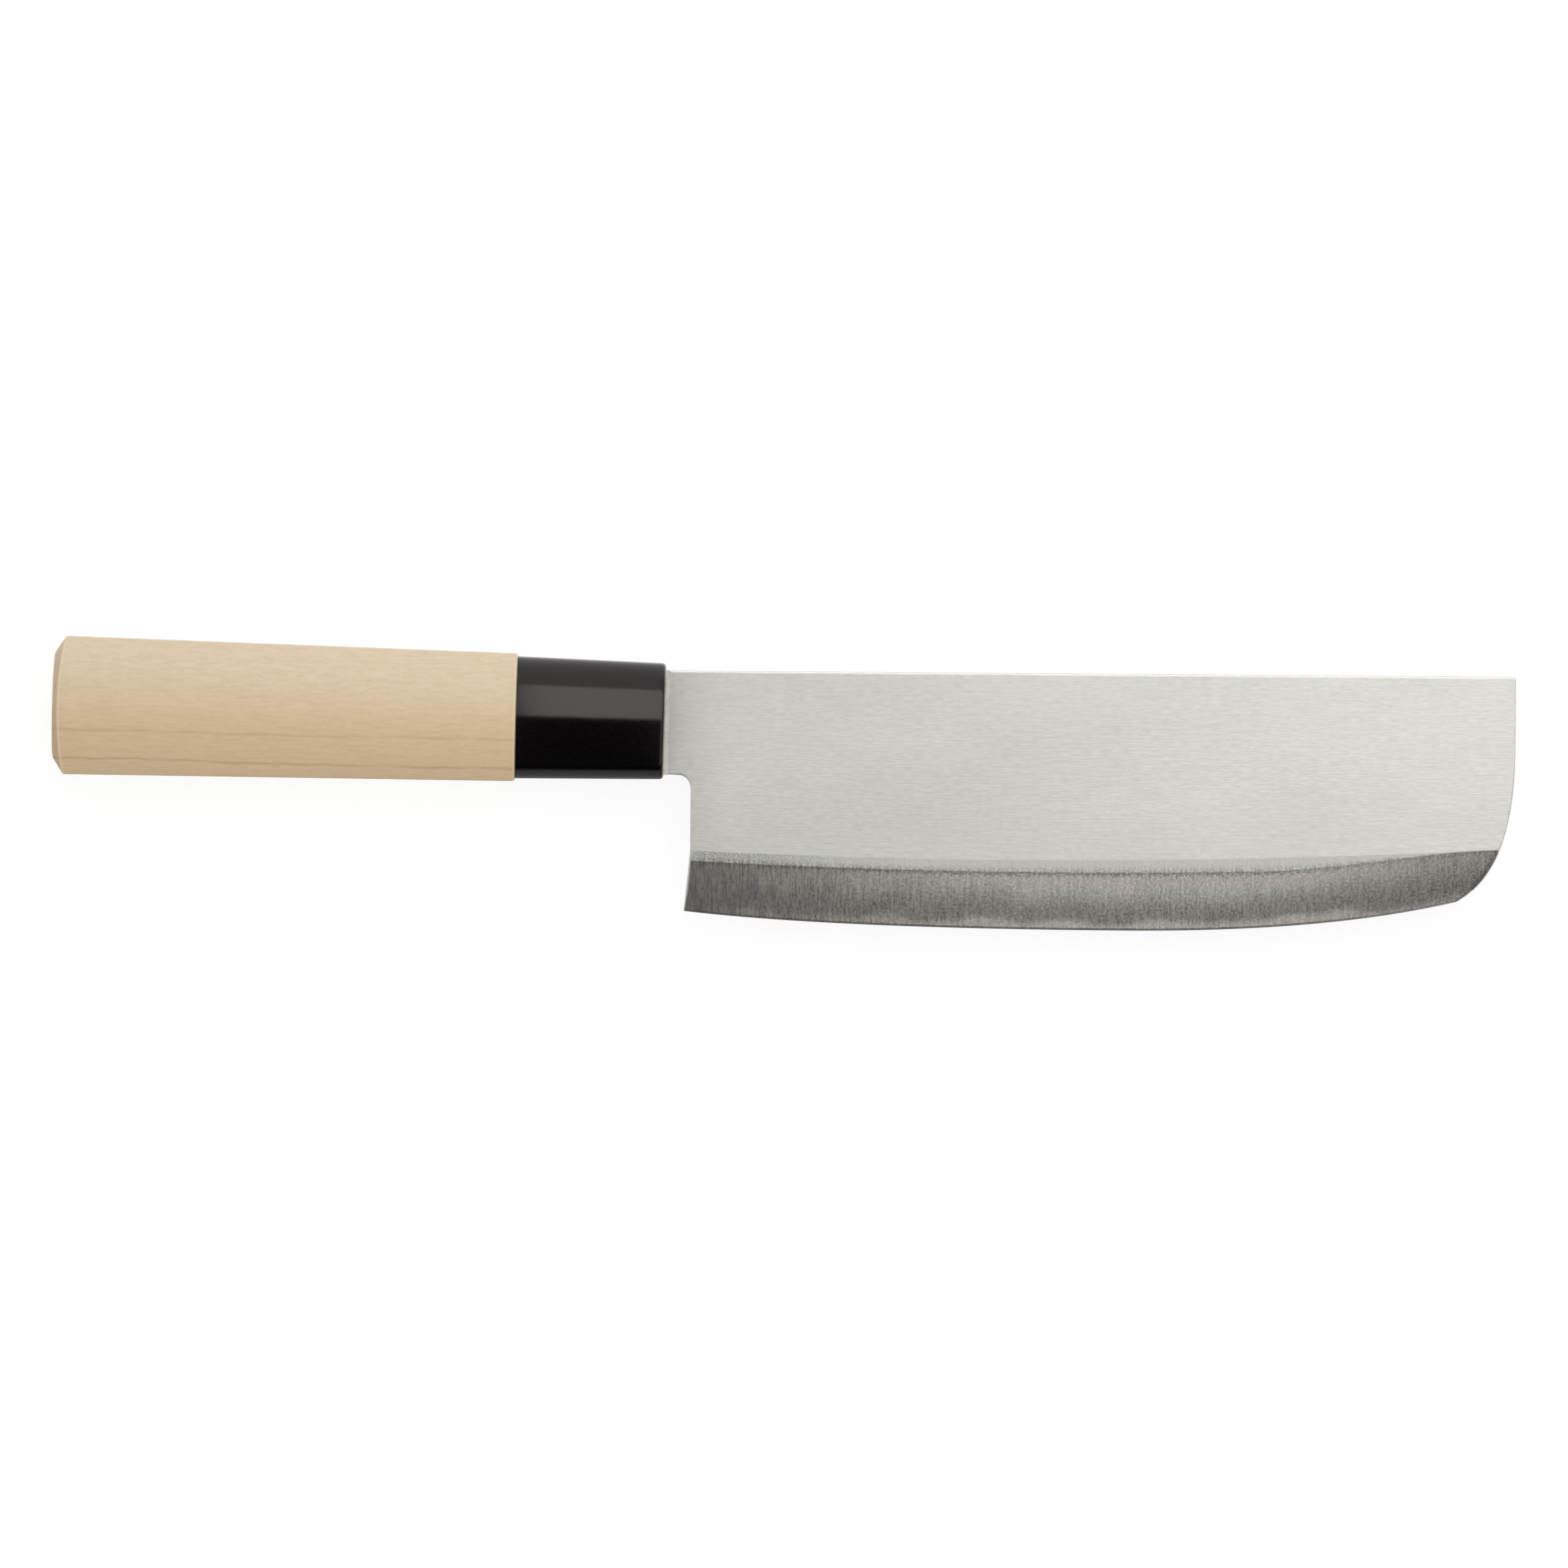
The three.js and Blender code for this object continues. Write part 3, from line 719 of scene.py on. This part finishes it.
def heel_side(depth, inset):
    """Where the blade's outline lies on the handle's side: neck, choil, straight heel and its flare."""
    if depth <= NECK_DEPTH - inset:
        return (NECK_X - depth * math.sin(BLADE_RISE)) / math.cos(BLADE_RISE)
    above = CHOIL_END_DEPTH - depth
    if above > 0:
        return HEEL_SIDE_X - CHOIL_RADIUS + math.sqrt((CHOIL_RADIUS + inset) ** 2 - above ** 2)
    flare_depth = shoulder_depth(HEEL_SIDE_X)
    if depth <= flare_depth:
        return HEEL_SIDE_X + inset
    return lerp(HEEL_SIDE_X, HEEL_X, (depth - flare_depth) / (HEEL_DEPTH - flare_depth)) + inset


def tip_curve(depth):
    """The round lower corner of the tip."""
    drop = (BLADE_LENGTH - TIP_CORNER_X) * slope_of(TIP_CORNER_SLOPE_DEG)
    start = (TIP_STRAIGHT_DEPTH, BLADE_LENGTH)
    control = (TIP_CORNER_DEPTH - drop, BLADE_LENGTH)
    return curve_at(depth, start, control, (TIP_CORNER_DEPTH, TIP_CORNER_X))


def tip_side(depth, inset):
    """Where the outline lies at the tip: small top corner, straight front and round lower corner."""
    if depth < TIP_TOP_RADIUS:
        above = TIP_TOP_RADIUS - depth
        reach = (TIP_TOP_RADIUS - inset) ** 2 - above ** 2
        return BLADE_LENGTH - TIP_TOP_RADIUS + math.sqrt(max(reach, 0))
    if depth <= TIP_STRAIGHT_DEPTH:
        return BLADE_LENGTH - inset
    slope = (tip_curve(depth + inset) - tip_curve(depth)) / inset
    return tip_curve(depth) - inset * math.hypot(1, slope)


def on_blade(along, depth, z):
    """A place on the blade in the handle's frame."""
    x = along * math.cos(BLADE_RISE) + depth * math.sin(BLADE_RISE)
    y = SPINE_HEIGHT + along * math.sin(BLADE_RISE) - depth * math.cos(BLADE_RISE)
    return Vector((x, y, z))


def settled(side, depth_at, inset, start):
    """Where a row across the blade meets one side of the outline."""
    along = start
    for _ in range(SETTLING_ROUNDS):
        along = side(depth_at(along), inset)
    return along


def back_rise(along, depth):
    """Height of the hollow in the back above its flat rim."""
    start, end = HEEL_SIDE_X + HOLLOW_HEEL_RIM, BLADE_LENGTH - HOLLOW_TIP_RIM
    u = 2 * (along - start) / (end - start) - 1
    low = edge_depth(along) - HOLLOW_EDGE_RIM
    v = 2 * (depth - HOLLOW_SPINE_RIM) / (low - HOLLOW_SPINE_RIM) - 1
    if abs(u) >= 1 or abs(v) >= 1:
        return 0.0
    bend, ease = HOLLOW_ALONG_POWERS
    along_share = (1 - u ** bend) ** ease
    bend, ease = HOLLOW_ACROSS_POWERS
    return HOLLOW_DEPTH * along_share * (1 - v ** bend) ** ease


def tang_root_depth(height):
    """Depth on the neck's end at a height above the handle's axis."""
    return (SPINE_HEIGHT - height + NECK_X * math.tan(BLADE_RISE)) * math.cos(BLADE_RISE)


def arc_depths(start, radius):
    """Depths down a quarter of a circle that starts level."""
    turns = [math.pi / 2 * i / ARC_STEPS for i in range(ARC_STEPS + 1)]
    return [start + radius * (1 - math.cos(turn)) for turn in turns]


class Row:
    """One line across the blade, from the handle's side to the tip: its depth, height and grind there.

    It ends short of the outline by the ease that rounds the wall off there.
    """

    def __init__(self, zone, grind, depth_at, height_at, start=None):
        self.zone = zone
        self.grind = grind
        self.depth_at = depth_at
        self.height_at = height_at
        self.ease = min(EASED_EDGE, EASE_SHARE * (height_at(BELLY_X) + HALF_BLADE))
        self.start = settled(heel_side, depth_at, self.ease, HEEL_SIDE_X) if start is None else start
        self.end = settled(tip_side, depth_at, self.ease, BLADE_LENGTH)


def flat_row(left_depth):
    """Rows run along the spine down to the choil's end, then turn by degrees to the shoulder's line."""
    start = heel_side(left_depth, EASED_EDGE)
    straight = min(left_depth, CHOIL_END_DEPTH)
    share = (left_depth - straight) / (shoulder_depth(start) - straight)
    return Row(
        "flat",
        -1.0,
        lambda along: lerp(straight, shoulder_depth(along), share),
        lambda along: HALF_BLADE,
        start,
    )


def bevel_top(along):
    return HALF_BLADE - SHOULDER_DROP * shoulder_width(along) / SHOULDER_WIDTH


def shoulder_row(share):
    return Row(
        "shoulder",
        share - 1.0,
        lambda along: shoulder_depth(along) + share * shoulder_width(along),
        lambda along: lerp(HALF_BLADE, bevel_top(along), share),
    )


def bevel_row(share):
    foot = BEVEL_FOOT - HALF_BLADE

    def depth_at(along):
        top = shoulder_depth(along) + shoulder_width(along)
        return lerp(top, edge_depth(along), share)

    def height_at(along):
        if share == 1:
            return EDGE_LAND - HALF_BLADE
        top = bevel_top(along) - BEVEL_STEP
        return lerp(top, foot, share) + 4 * BEVEL_CROWN * share * (1 - share)

    return Row("honed" if share == 1 else "bevel", share, depth_at, height_at)


def blade_rows():
    """All rows from the spine to the edge, and the numbers of those at the tang's top and bottom."""
    tang = [tang_root_depth(side * (TANG_ROOT_HEIGHT / 2 - EASED_EDGE)) for side in (1, -1)]
    corner = arc_depths(EASED_EDGE, TIP_TOP_RADIUS - EASED_EDGE)
    choil = arc_depths(NECK_DEPTH - EASED_EDGE, CHOIL_RADIUS + EASED_EDGE)
    depths = filled([*corner, *tang, *choil, shoulder_depth(HEEL_SIDE_X)], ROW_STEP)
    rows = [flat_row(depth) for depth in depths]
    rows += [shoulder_row((i + 1) / SHOULDER_STEPS) for i in range(SHOULDER_STEPS)]
    shares = [lerp(BEVEL_STEP_SHARE, HONED_SHARE, i / BEVEL_STEPS) for i in range(BEVEL_STEPS + 1)]
    rows += [bevel_row(share) for share in [*shares, 1]]
    return rows, depths.index(tang[0]), depths.index(tang[1])


ZONES = ("flat", "shoulder", "bevel", "honed", "wall")


def blade_side(mesh, rows, tang_rows, back):
    """One face of the blade as a grid of quads, with its part of the tang; gives its points' eases."""
    uv = mesh.loops.layers.uv["UVMap"]
    grind = mesh.verts.layers.float["grind"]
    tip_gap = mesh.verts.layers.float["tip_gap"]
    place = {}
    eases = {}

    def corner(along, row):
        depth = row.depth_at(along)
        z = back_rise(along, depth) - HALF_BLADE if back else row.height_at(along)
        made = mesh.verts.new(on_blade(along, depth, z))
        made[grind] = row.grind
        made[tip_gap] = row.end - along
        place[made] = (along, depth)
        eases[made] = row.ease
        return made

    def tang_corner(root, across, share):
        x = lerp(root.co.x, EASED_EDGE - TANG_LENGTH, share)
        y = lerp(root.co.y, across * (TANG_END_HEIGHT / 2 - EASED_EDGE), share)
        made = mesh.verts.new((x, y, root.co.z))
        made[grind] = -1.0
        made[tip_gap] = BLADE_LENGTH
        place[made] = (x, SPINE_HEIGHT - y)
        eases[made] = EASED_EDGE
        return made

    def quad(a, b, c, d, zone):
        face = mesh.faces.new((a, d, c, b) if back else (a, b, c, d))
        face.material_index = ZONES.index("flat" if back else zone)
        for loop in face.loops:
            loop[uv].uv = place[loop.vert]

    grid = []
    for row in rows:
        stations = [lerp(row.start, row.end, i / BLADE_COLUMNS) for i in range(BLADE_COLUMNS + 1)]
        grid.append([corner(along, row) for along in stations])
    for upper, lower, row in zip(grid, grid[1:], rows[1:]):
        for i in range(BLADE_COLUMNS):
            quad(lower[i], lower[i + 1], upper[i + 1], upper[i], row.zone)

    tang = []
    first, last = tang_rows
    for number in range(first, last + 1):
        root = grid[number][0]
        across = lerp(1, -1, (number - first) / (last - first))
        shares = [(i + 1) / TANG_COLUMNS for i in range(TANG_COLUMNS)]
        tang.append([root] + [tang_corner(root, across, share) for share in shares])
    for upper, lower in zip(tang, tang[1:]):
        for i in range(TANG_COLUMNS):
            quad(lower[i + 1], lower[i], upper[i], upper[i + 1], "flat")
    return eases


def border_of(mesh):
    """The points round the only open border of a mesh, in the order that its faces give."""
    follows = {}
    for edge in mesh.edges:
        if edge.is_boundary:
            loop = edge.link_loops[0]
            follows[loop.vert] = loop.link_loop_next.vert
    border = [next(iter(follows))]
    while follows[border[-1]] is not border[0]:
        border.append(follows[border[-1]])
    return border


def wall_line(mesh, front, back, outward, ease):
    """Points down the wall from the front face to the back one, rounded off at both."""
    line = []
    for face, down in ((front, -1), (back, 1)):
        part = [face]
        for step in range(RIM_STEPS):
            turn = math.pi / 2 * (step + 1) / RIM_STEPS
            sunk = Vector((0, 0, down * ease * (1 - math.cos(turn))))
            part.append(mesh.verts.new(face.co + outward * ease * math.sin(turn) + sunk))
        line += part if face is front else reversed(part)
    return line


def make_walls(mesh, border, partner, eases):
    """Walls between the two faces, as ground, but honed round the tip from the shoulder to the edge."""
    uv = mesh.loops.layers.uv["UVMap"]
    grind = mesh.verts.layers.float["grind"]
    tip_gap = mesh.verts.layers.float["tip_gap"]
    lines = []
    for before, here, after in zip(border[-1:] + border[:-1], border, border[1:] + border[:1]):
        onward = (here.co - before.co).normalized() + (after.co - here.co).normalized()
        outward = Vector((onward.y, -onward.x, 0)).normalized()
        lines.append(wall_line(mesh, here, partner[here], outward, eases[here]))
    for here, there in zip(lines, lines[1:] + lines[:1]):
        honed = all(line[0][grind] > 0 and line[0][tip_gap] == 0 for line in (here, there))
        for corners in zip(here, there, there[1:], here[1:]):
            wall = mesh.faces.new(corners)
            wall.material_index = ZONES.index("honed" if honed else "wall")
            for corner in wall.loops:
                corner[uv].uv = (corner.vert.co.x, corner.vert.co.y)


def make_blade():
    mesh = bmesh.new()
    mesh.loops.layers.uv.new("UVMap")
    mesh.verts.layers.float.new("grind")
    mesh.verts.layers.float.new("tip_gap")
    rows, *tang_rows = blade_rows()
    eases = blade_side(mesh, rows, tang_rows, back=False)
    border = border_of(mesh)
    partner = dict(zip(eases, blade_side(mesh, rows, tang_rows, back=True)))
    make_walls(mesh, border, partner, eases)
    finish_faces(mesh)
    for edge in mesh.edges:
        if len({face.material_index for face in edge.link_faces}) > 1:
            edge.smooth = False
    materials = [flat_steel(), shoulder_steel(), bevel_steel(), honed_steel(), wall_steel()]
    piece("knife_blade", mesh, "blade", materials)


# Handle

def oval_point(size, x, turn):
    """A point of an oval round the handle's axis; size is its height and thickness."""
    return Vector((x, size[0] / 2 * math.cos(turn), size[1] / 2 * math.sin(turn)))


def oval_ring(size, x):
    return [oval_point(size, x, turn) for turn in TURNS]


def square_turns():
    """Shares along and across a box for the points of a ring: half of them lie in its ends."""
    wide = [(math.sqrt(2) * math.cos(turn), math.sqrt(2) * math.sin(turn)) for turn in TURNS]
    return [(min(max(along, -1), 1), min(max(across, -1), 1)) for along, across in wide]


def box_ring(height, width, x, centre):
    """A box round the blade's steel, with as many points as an oval ring."""
    turns = square_turns()
    return [Vector((x, centre + height / 2 * along, width / 2 * across)) for along, across in turns]


def slot_ring(height, width, x):
    """A slot with round ends, with as many points as an oval ring."""
    ring = []
    for along, across in square_turns():
        round_end = math.copysign(width / 2 * math.sqrt(1 - across ** 2), along)
        ring.append(Vector((x, (height - width) / 2 * along + round_end, width / 2 * across)))
    return ring


def eased_rings(corners, eases, closed=False):
    """Rings through corner rings, each rounded by its ease. The first and last stay unless closed."""
    count = len(corners)
    rings = []
    for index, (corner, ease) in enumerate(zip(corners, eases)):
        ends = not closed and index in (0, count - 1)
        if ends or ease == 0:
            rings.append(corner)
            continue
        before, after = corners[index - 1], corners[(index + 1) % count]
        back = [(p - c).normalized() * ease for p, c in zip(before, corner)]
        on = [(n - c).normalized() * ease for n, c in zip(after, corner)]
        for step in range(EASE_STEPS + 1):
            s = step / EASE_STEPS
            rings.append([c + b * (1 - s) ** 2 + o * s ** 2 for c, b, o in zip(corner, back, on)])
    return rings


def loft(mesh, rings, closed=False, zones=None):
    """Quads between rings that follow each other; the ends are capped unless the rings close."""
    lines = [[mesh.verts.new(point) for point in ring] for ring in rings]
    pairs = list(zip(lines, lines[1:]))
    if closed:
        pairs.append((lines[-1], lines[0]))
    for number, (here, there) in enumerate(pairs):
        for side in range(OVAL_SIDES):
            other = (side + 1) % OVAL_SIDES
            face = mesh.faces.new((here[side], here[other], there[other], there[side]))
            face.material_index = zones[number] if zones else 0
    if not closed:
        mesh.faces.new(lines[0])
        mesh.faces.new(lines[-1])


def ferrule_size(x, inset=0.0):
    return FERRULE_FRONT.lerp(FERRULE_REAR, -x / FERRULE_LENGTH) - Vector((2 * inset, 2 * inset))


def wood_size(x, inset=0.0):
    share = (-x - FERRULE_LENGTH) / WOOD_LENGTH
    return WOOD_FRONT + WOOD_FLARE * share - Vector((2 * inset, 2 * inset))


def make_ferrule():
    """A tapered oval cap with a slot for the tang in its face and a socket for the wood behind."""
    slot_height = TANG_ROOT_HEIGHT + 2 * FIT
    slot_width = BLADE_THICKNESS + 2 * FIT
    rear, wall = -FERRULE_LENGTH, -FERRULE_FRONT_WALL
    corners = [
        slot_ring(slot_height, slot_width, 0),
        oval_ring(ferrule_size(0), 0),
        oval_ring(ferrule_size(rear), rear),
        oval_ring(ferrule_size(rear, FERRULE_WALL), rear),
        oval_ring(ferrule_size(wall, FERRULE_WALL), wall),
        slot_ring(slot_height, slot_width, wall),
    ]
    eases = [0, FERRULE_RIM_RADIUS, FERRULE_REAR_EASE, 0, 0, 0]
    mesh = bmesh.new()
    loft(mesh, eased_rings(corners, eases, closed=True), closed=True)
    finish_faces(mesh)
    piece("knife_ferrule", mesh, "ferrule", [gloss_black()])


def butt_run_out(butt_x):
    """The ring where the butt's chamfer runs out, longest at the top and the bottom of the section."""
    ring = []
    for turn in TURNS:
        x = butt_x + lerp(BUTT_CHAMFER_LENGTH[1], BUTT_CHAMFER_LENGTH[0], math.cos(turn) ** 2)
        ring.append(oval_point(wood_size(x), x, turn))
    return ring


def make_wood():
    """The wooden body, with its chamfered butt, its tenon and the mortise for the tang."""
    butt_x, front_x = -FERRULE_LENGTH - WOOD_LENGTH, -FERRULE_LENGTH
    flat = wood_size(butt_x) - 2 * BUTT_INSET
    room = 2 * (2 * FIT + BEDDING_WALL)
    mortise = (TANG_ROOT_HEIGHT + room, BLADE_THICKNESS + room)
    mortise_end = -TANG_LENGTH - 2 * FIT - BEDDING_WALL
    corners = [
        oval_ring(flat * BUTT_CENTRE_SHARE, butt_x),
        oval_ring(flat, butt_x),
        butt_run_out(butt_x),
        oval_ring(wood_size(front_x - WOOD_FRONT_BREAK), front_x - WOOD_FRONT_BREAK),
        oval_ring(wood_size(front_x, WOOD_FRONT_BREAK), front_x),
        oval_ring(ferrule_size(front_x, FERRULE_WALL + FIT), front_x),
        oval_ring(ferrule_size(TENON_END_X, FERRULE_WALL + FIT), TENON_END_X),
        slot_ring(*mortise, TENON_END_X),
        slot_ring(*mortise, mortise_end),
    ]
    eases = [0, BUTT_EASE, BUTT_EASE, WOOD_FRONT_EASE, WOOD_FRONT_EASE, 0, 0, 0, 0]
    rings = eased_rings(corners, eases)
    side, end, edge, chamfer = range(4)
    butt = [end] * (EASE_STEPS + 1) + [chamfer] + [edge] * EASE_STEPS
    front = [side] + [edge] * (2 * EASE_STEPS + 1)
    inside = [side] * (len(rings) - 1 - len(butt) - len(front))
    mesh = bmesh.new()
    loft(mesh, rings, zones=butt + front + inside)
    for face in mesh.faces:
        if len(face.verts) > 4 and face.calc_center_median().x < butt_x + BUTT_EASE:
            face.material_index = end
    finish_faces(mesh)
    # Eased edges: wear with a painted highlight
    worn_and_lit = pale_wood("worn_and_lit_wood", WORN_AND_LIT_SHARE, WOOD_WORN_AND_LIT)
    cut = pale_wood("cut_wood", CUT_SHARE, WOOD_LINE)
    materials = [pale_wood("pale_wood", 0.0, WOOD_WORN_AND_LIT), end_grain(), worn_and_lit, cut]
    piece("knife_handle", mesh, "handle_body", materials)


def make_seal():
    """Resin drawn up from the ferrule's face round the neck, thin where it meets the steel."""
    centre = SPINE_HEIGHT - NECK_DEPTH / 2
    height, width = NECK_DEPTH + 2 * SEAL_LIP, BLADE_THICKNESS + 2 * SEAL_LIP
    pocket = (NECK_DEPTH + SEAL_LIP, BLADE_THICKNESS + SEAL_LIP)
    pocket_end = NECK_X - EASED_EDGE - SEAL_LIP
    tang = (TANG_ROOT_HEIGHT + SEAL_LIP, BLADE_THICKNESS + SEAL_LIP / 2)
    hollow_width = width + 2 * SEAL_HOLLOW_WIDTH * SEAL_FOOT
    corners = [
        box_ring(*tang, 0, 0),
        box_ring(height, width + 2 * SEAL_FOOT, 0, centre),
        box_ring(height, hollow_width, SEAL_HOLLOW_HEIGHT * NECK_X, centre),
        box_ring(height, width, NECK_X, centre),
        box_ring(*pocket, NECK_X, centre),
        box_ring(*pocket, pocket_end, centre),
        box_ring(*tang, pocket_end, 0),
    ]
    eases = [0, SEAL_FOOT_EASE, SEAL_HOLLOW_EASE, 0, 0, 0, 0]
    mesh = bmesh.new()
    loft(mesh, eased_rings(corners, eases, closed=True), closed=True)
    finish_faces(mesh)
    piece("knife_mouth_seal", mesh, "mouth_seal", [resin("seal_resin", *SEAL_RESIN)])


def finish_bedding():
    """The bedding keeps the frame's mesh, and gets its finish."""
    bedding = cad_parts["tang_bedding"]
    bedding.data.materials.clear()
    bedding.data.materials.append(resin("bedding_resin", *BEDDING_RESIN))


# Studio

FLOOR_SIZE = 14.0
FLOOR_CELLS = 8
FLOOR_ALBEDO = 0.8
FLOOR_GLOW = 0.875
FLOOR_SHADED = 0.17
FLOOR_MIRRORED_GLOW = (0.1, 0.5)
FLOOR_MIRRORED_SHADED = 0.33
# Places across the knife between which the mirrored floor turns from painted shade to lit, then to its
# full glow
FLOOR_DARK = (-0.09, -0.03)
FLOOR_FULL = (-0.01, 0.03)
# The softbox leans over the spine's side; its near edge lies almost above the knife
SOFTBOX_LENGTH = 0.66
SOFTBOX_LEFT_X = -0.12
SOFTBOX_DISTANCE = 0.6
SOFTBOX_NEAR_DEG = 2.7
SOFTBOX_FAR_DEG = 52
SOFTBOX_POWER = 1.46
# Two fills that light the wood but don't show in the gloss, on the edge's side and on the spine's
FILL_SIZE = (2.0, 1.0)
FILLS = (
    ("edge_fill", Vector((0.0, -1.3, 0.7)), 7.8),
    ("spine_fill", Vector((0.0, 1.4, 0.5)), 6.8),
)
WORLD_GREY = 0.66
WORLD_PALE = 0.92
WORLD_DARK = 0.015
# Shares of a direction: where the grey ends of the room begin, and where dark turns to pale between them
WORLD_ENDS = (0.12, 0.3)
WORLD_BACK = (0.0, 0.1)


def floor_paper():
    """Paper, white to the camera apart from the knife's soft shadow, and dimmer in mirrors, with painted
    shade there on the edge's side.
    """
    material, tree = new_material("floor_paper")
    path = tree.add("ShaderNodeLightPath", {}).outputs
    seen = tree.math("MAXIMUM", path["Is Camera Ray"], path["Is Glossy Ray"])
    seen = tree.math("MAXIMUM", seen, path["Is Transmission Ray"])
    across = tree.split(tree.object_place())["Y"]
    # Painted shade on the floor where mirrors see it, on the edge's side
    lit = tree.ranged(across, *FLOOR_DARK)
    mirrored = tree.times(lit, tree.ranged(across, *FLOOR_FULL, *FLOOR_MIRRORED_GLOW))
    strength = tree.blend(path["Is Camera Ray"], mirrored, FLOOR_GLOW)
    albedo = tree.blend(path["Is Camera Ray"], tree.times(lit, FLOOR_MIRRORED_SHADED), FLOOR_SHADED)
    plain = tree.add("ShaderNodeBsdfDiffuse", {"Color": grey(FLOOR_ALBEDO)}).outputs[0]
    shaded = tree.add("ShaderNodeBsdfDiffuse", {"Color": albedo}).outputs[0]
    glow = tree.add("ShaderNodeEmission", {"Color": grey(1.0), "Strength": strength}).outputs[0]
    white = tree.add("ShaderNodeAddShader", {0: shaded, 1: glow}).outputs[0]
    mixed = tree.add("ShaderNodeMixShader", {0: seen, 1: plain, 2: white}).outputs[0]
    tree.add("ShaderNodeOutputMaterial", {"Surface": mixed})
    return material


def make_floor():
    mesh = bmesh.new()
    bmesh.ops.create_grid(mesh, x_segments=FLOOR_CELLS, y_segments=FLOOR_CELLS, size=FLOOR_SIZE / 2)
    floor = mesh_object("floor", mesh, [floor_paper()])


def area_lamp(name, place, size, power):
    """A rectangular lamp that leans towards the knife, with its long edges along X."""
    lamp = bpy.data.lights.new(name, "AREA")
    lamp.shape = "RECTANGLE"
    lamp.size, lamp.size_y = size
    lamp.energy = power
    made = add_object(name, lamp)
    made.location = place
    made.rotation_euler = (math.atan2(MOUTH.y - place.y, place.z - MOUTH.z), 0, 0)
    made.visible_camera = False
    return made


def make_softbox():
    near, far = math.radians(SOFTBOX_NEAR_DEG), math.radians(SOFTBOX_FAR_DEG)
    lean = (near + far) / 2
    width = 2 * SOFTBOX_DISTANCE * math.tan((far - near) / 2)
    x = SOFTBOX_LEFT_X + SOFTBOX_LENGTH / 2
    y = MOUTH.y + SOFTBOX_DISTANCE * math.sin(lean)
    z = MOUTH.z + SOFTBOX_DISTANCE * math.cos(lean)
    area_lamp("softbox", Vector((x, y, z)), (SOFTBOX_LENGTH, width), SOFTBOX_POWER)


def make_world():
    """A room with grey ends, pale on the softbox's side and dark on the side opposite."""
    world = bpy.data.worlds.new("studio")
    bpy.context.scene.world = world
    tree = Tree(world)
    x, y = tree.split(tree.add("ShaderNodeTexCoord", {}).outputs["Generated"])[:2]
    ends = tree.ranged(tree.math("ABSOLUTE", x), *WORLD_ENDS)
    level = tree.blend(ends, tree.ranged(y, *WORLD_BACK, WORLD_DARK, WORLD_PALE), WORLD_GREY)
    background = tree.add("ShaderNodeBackground", {"Color": grey(1.0), "Strength": level})
    tree.add("ShaderNodeOutputWorld", {"Surface": background.outputs[0]})


def make_light():
    make_softbox()
    for name, place, power in FILLS:
        area_lamp(name, place, FILL_SIZE, power).visible_glossy = False
    make_world()


def make_camera():
    """Straight above the knife, turned so that the handle's axis lies as it does in the photograph."""
    turn = math.radians(PHOTO_TURN_DEG)
    right = (PHOTO_PIXELS / 2 - MOUTH_PIXEL[0]) * PIXEL
    down = (PHOTO_PIXELS / 2 - MOUTH_PIXEL[1]) * PIXEL
    x = right * math.cos(turn) + down * math.sin(turn)
    y = right * math.sin(turn) - down * math.cos(turn)
    data = bpy.data.cameras.new("camera")
    data.sensor_width = SENSOR_WIDTH
    data.lens = SENSOR_WIDTH * CAMERA_DISTANCE / (PHOTO_PIXELS * PIXEL)
    data.clip_end = CAMERA_REACH
    camera = add_object("camera", data)
    camera.location = MOUTH + Vector((x, y, CAMERA_DISTANCE))
    camera.rotation_euler = (0, 0, turn)
    bpy.context.scene.camera = camera


make_camera()
make_blade()
make_ferrule()
make_wood()
make_seal()
finish_bedding()
make_floor()
make_light()
bpy.context.scene.view_settings.view_transform = "Standard"
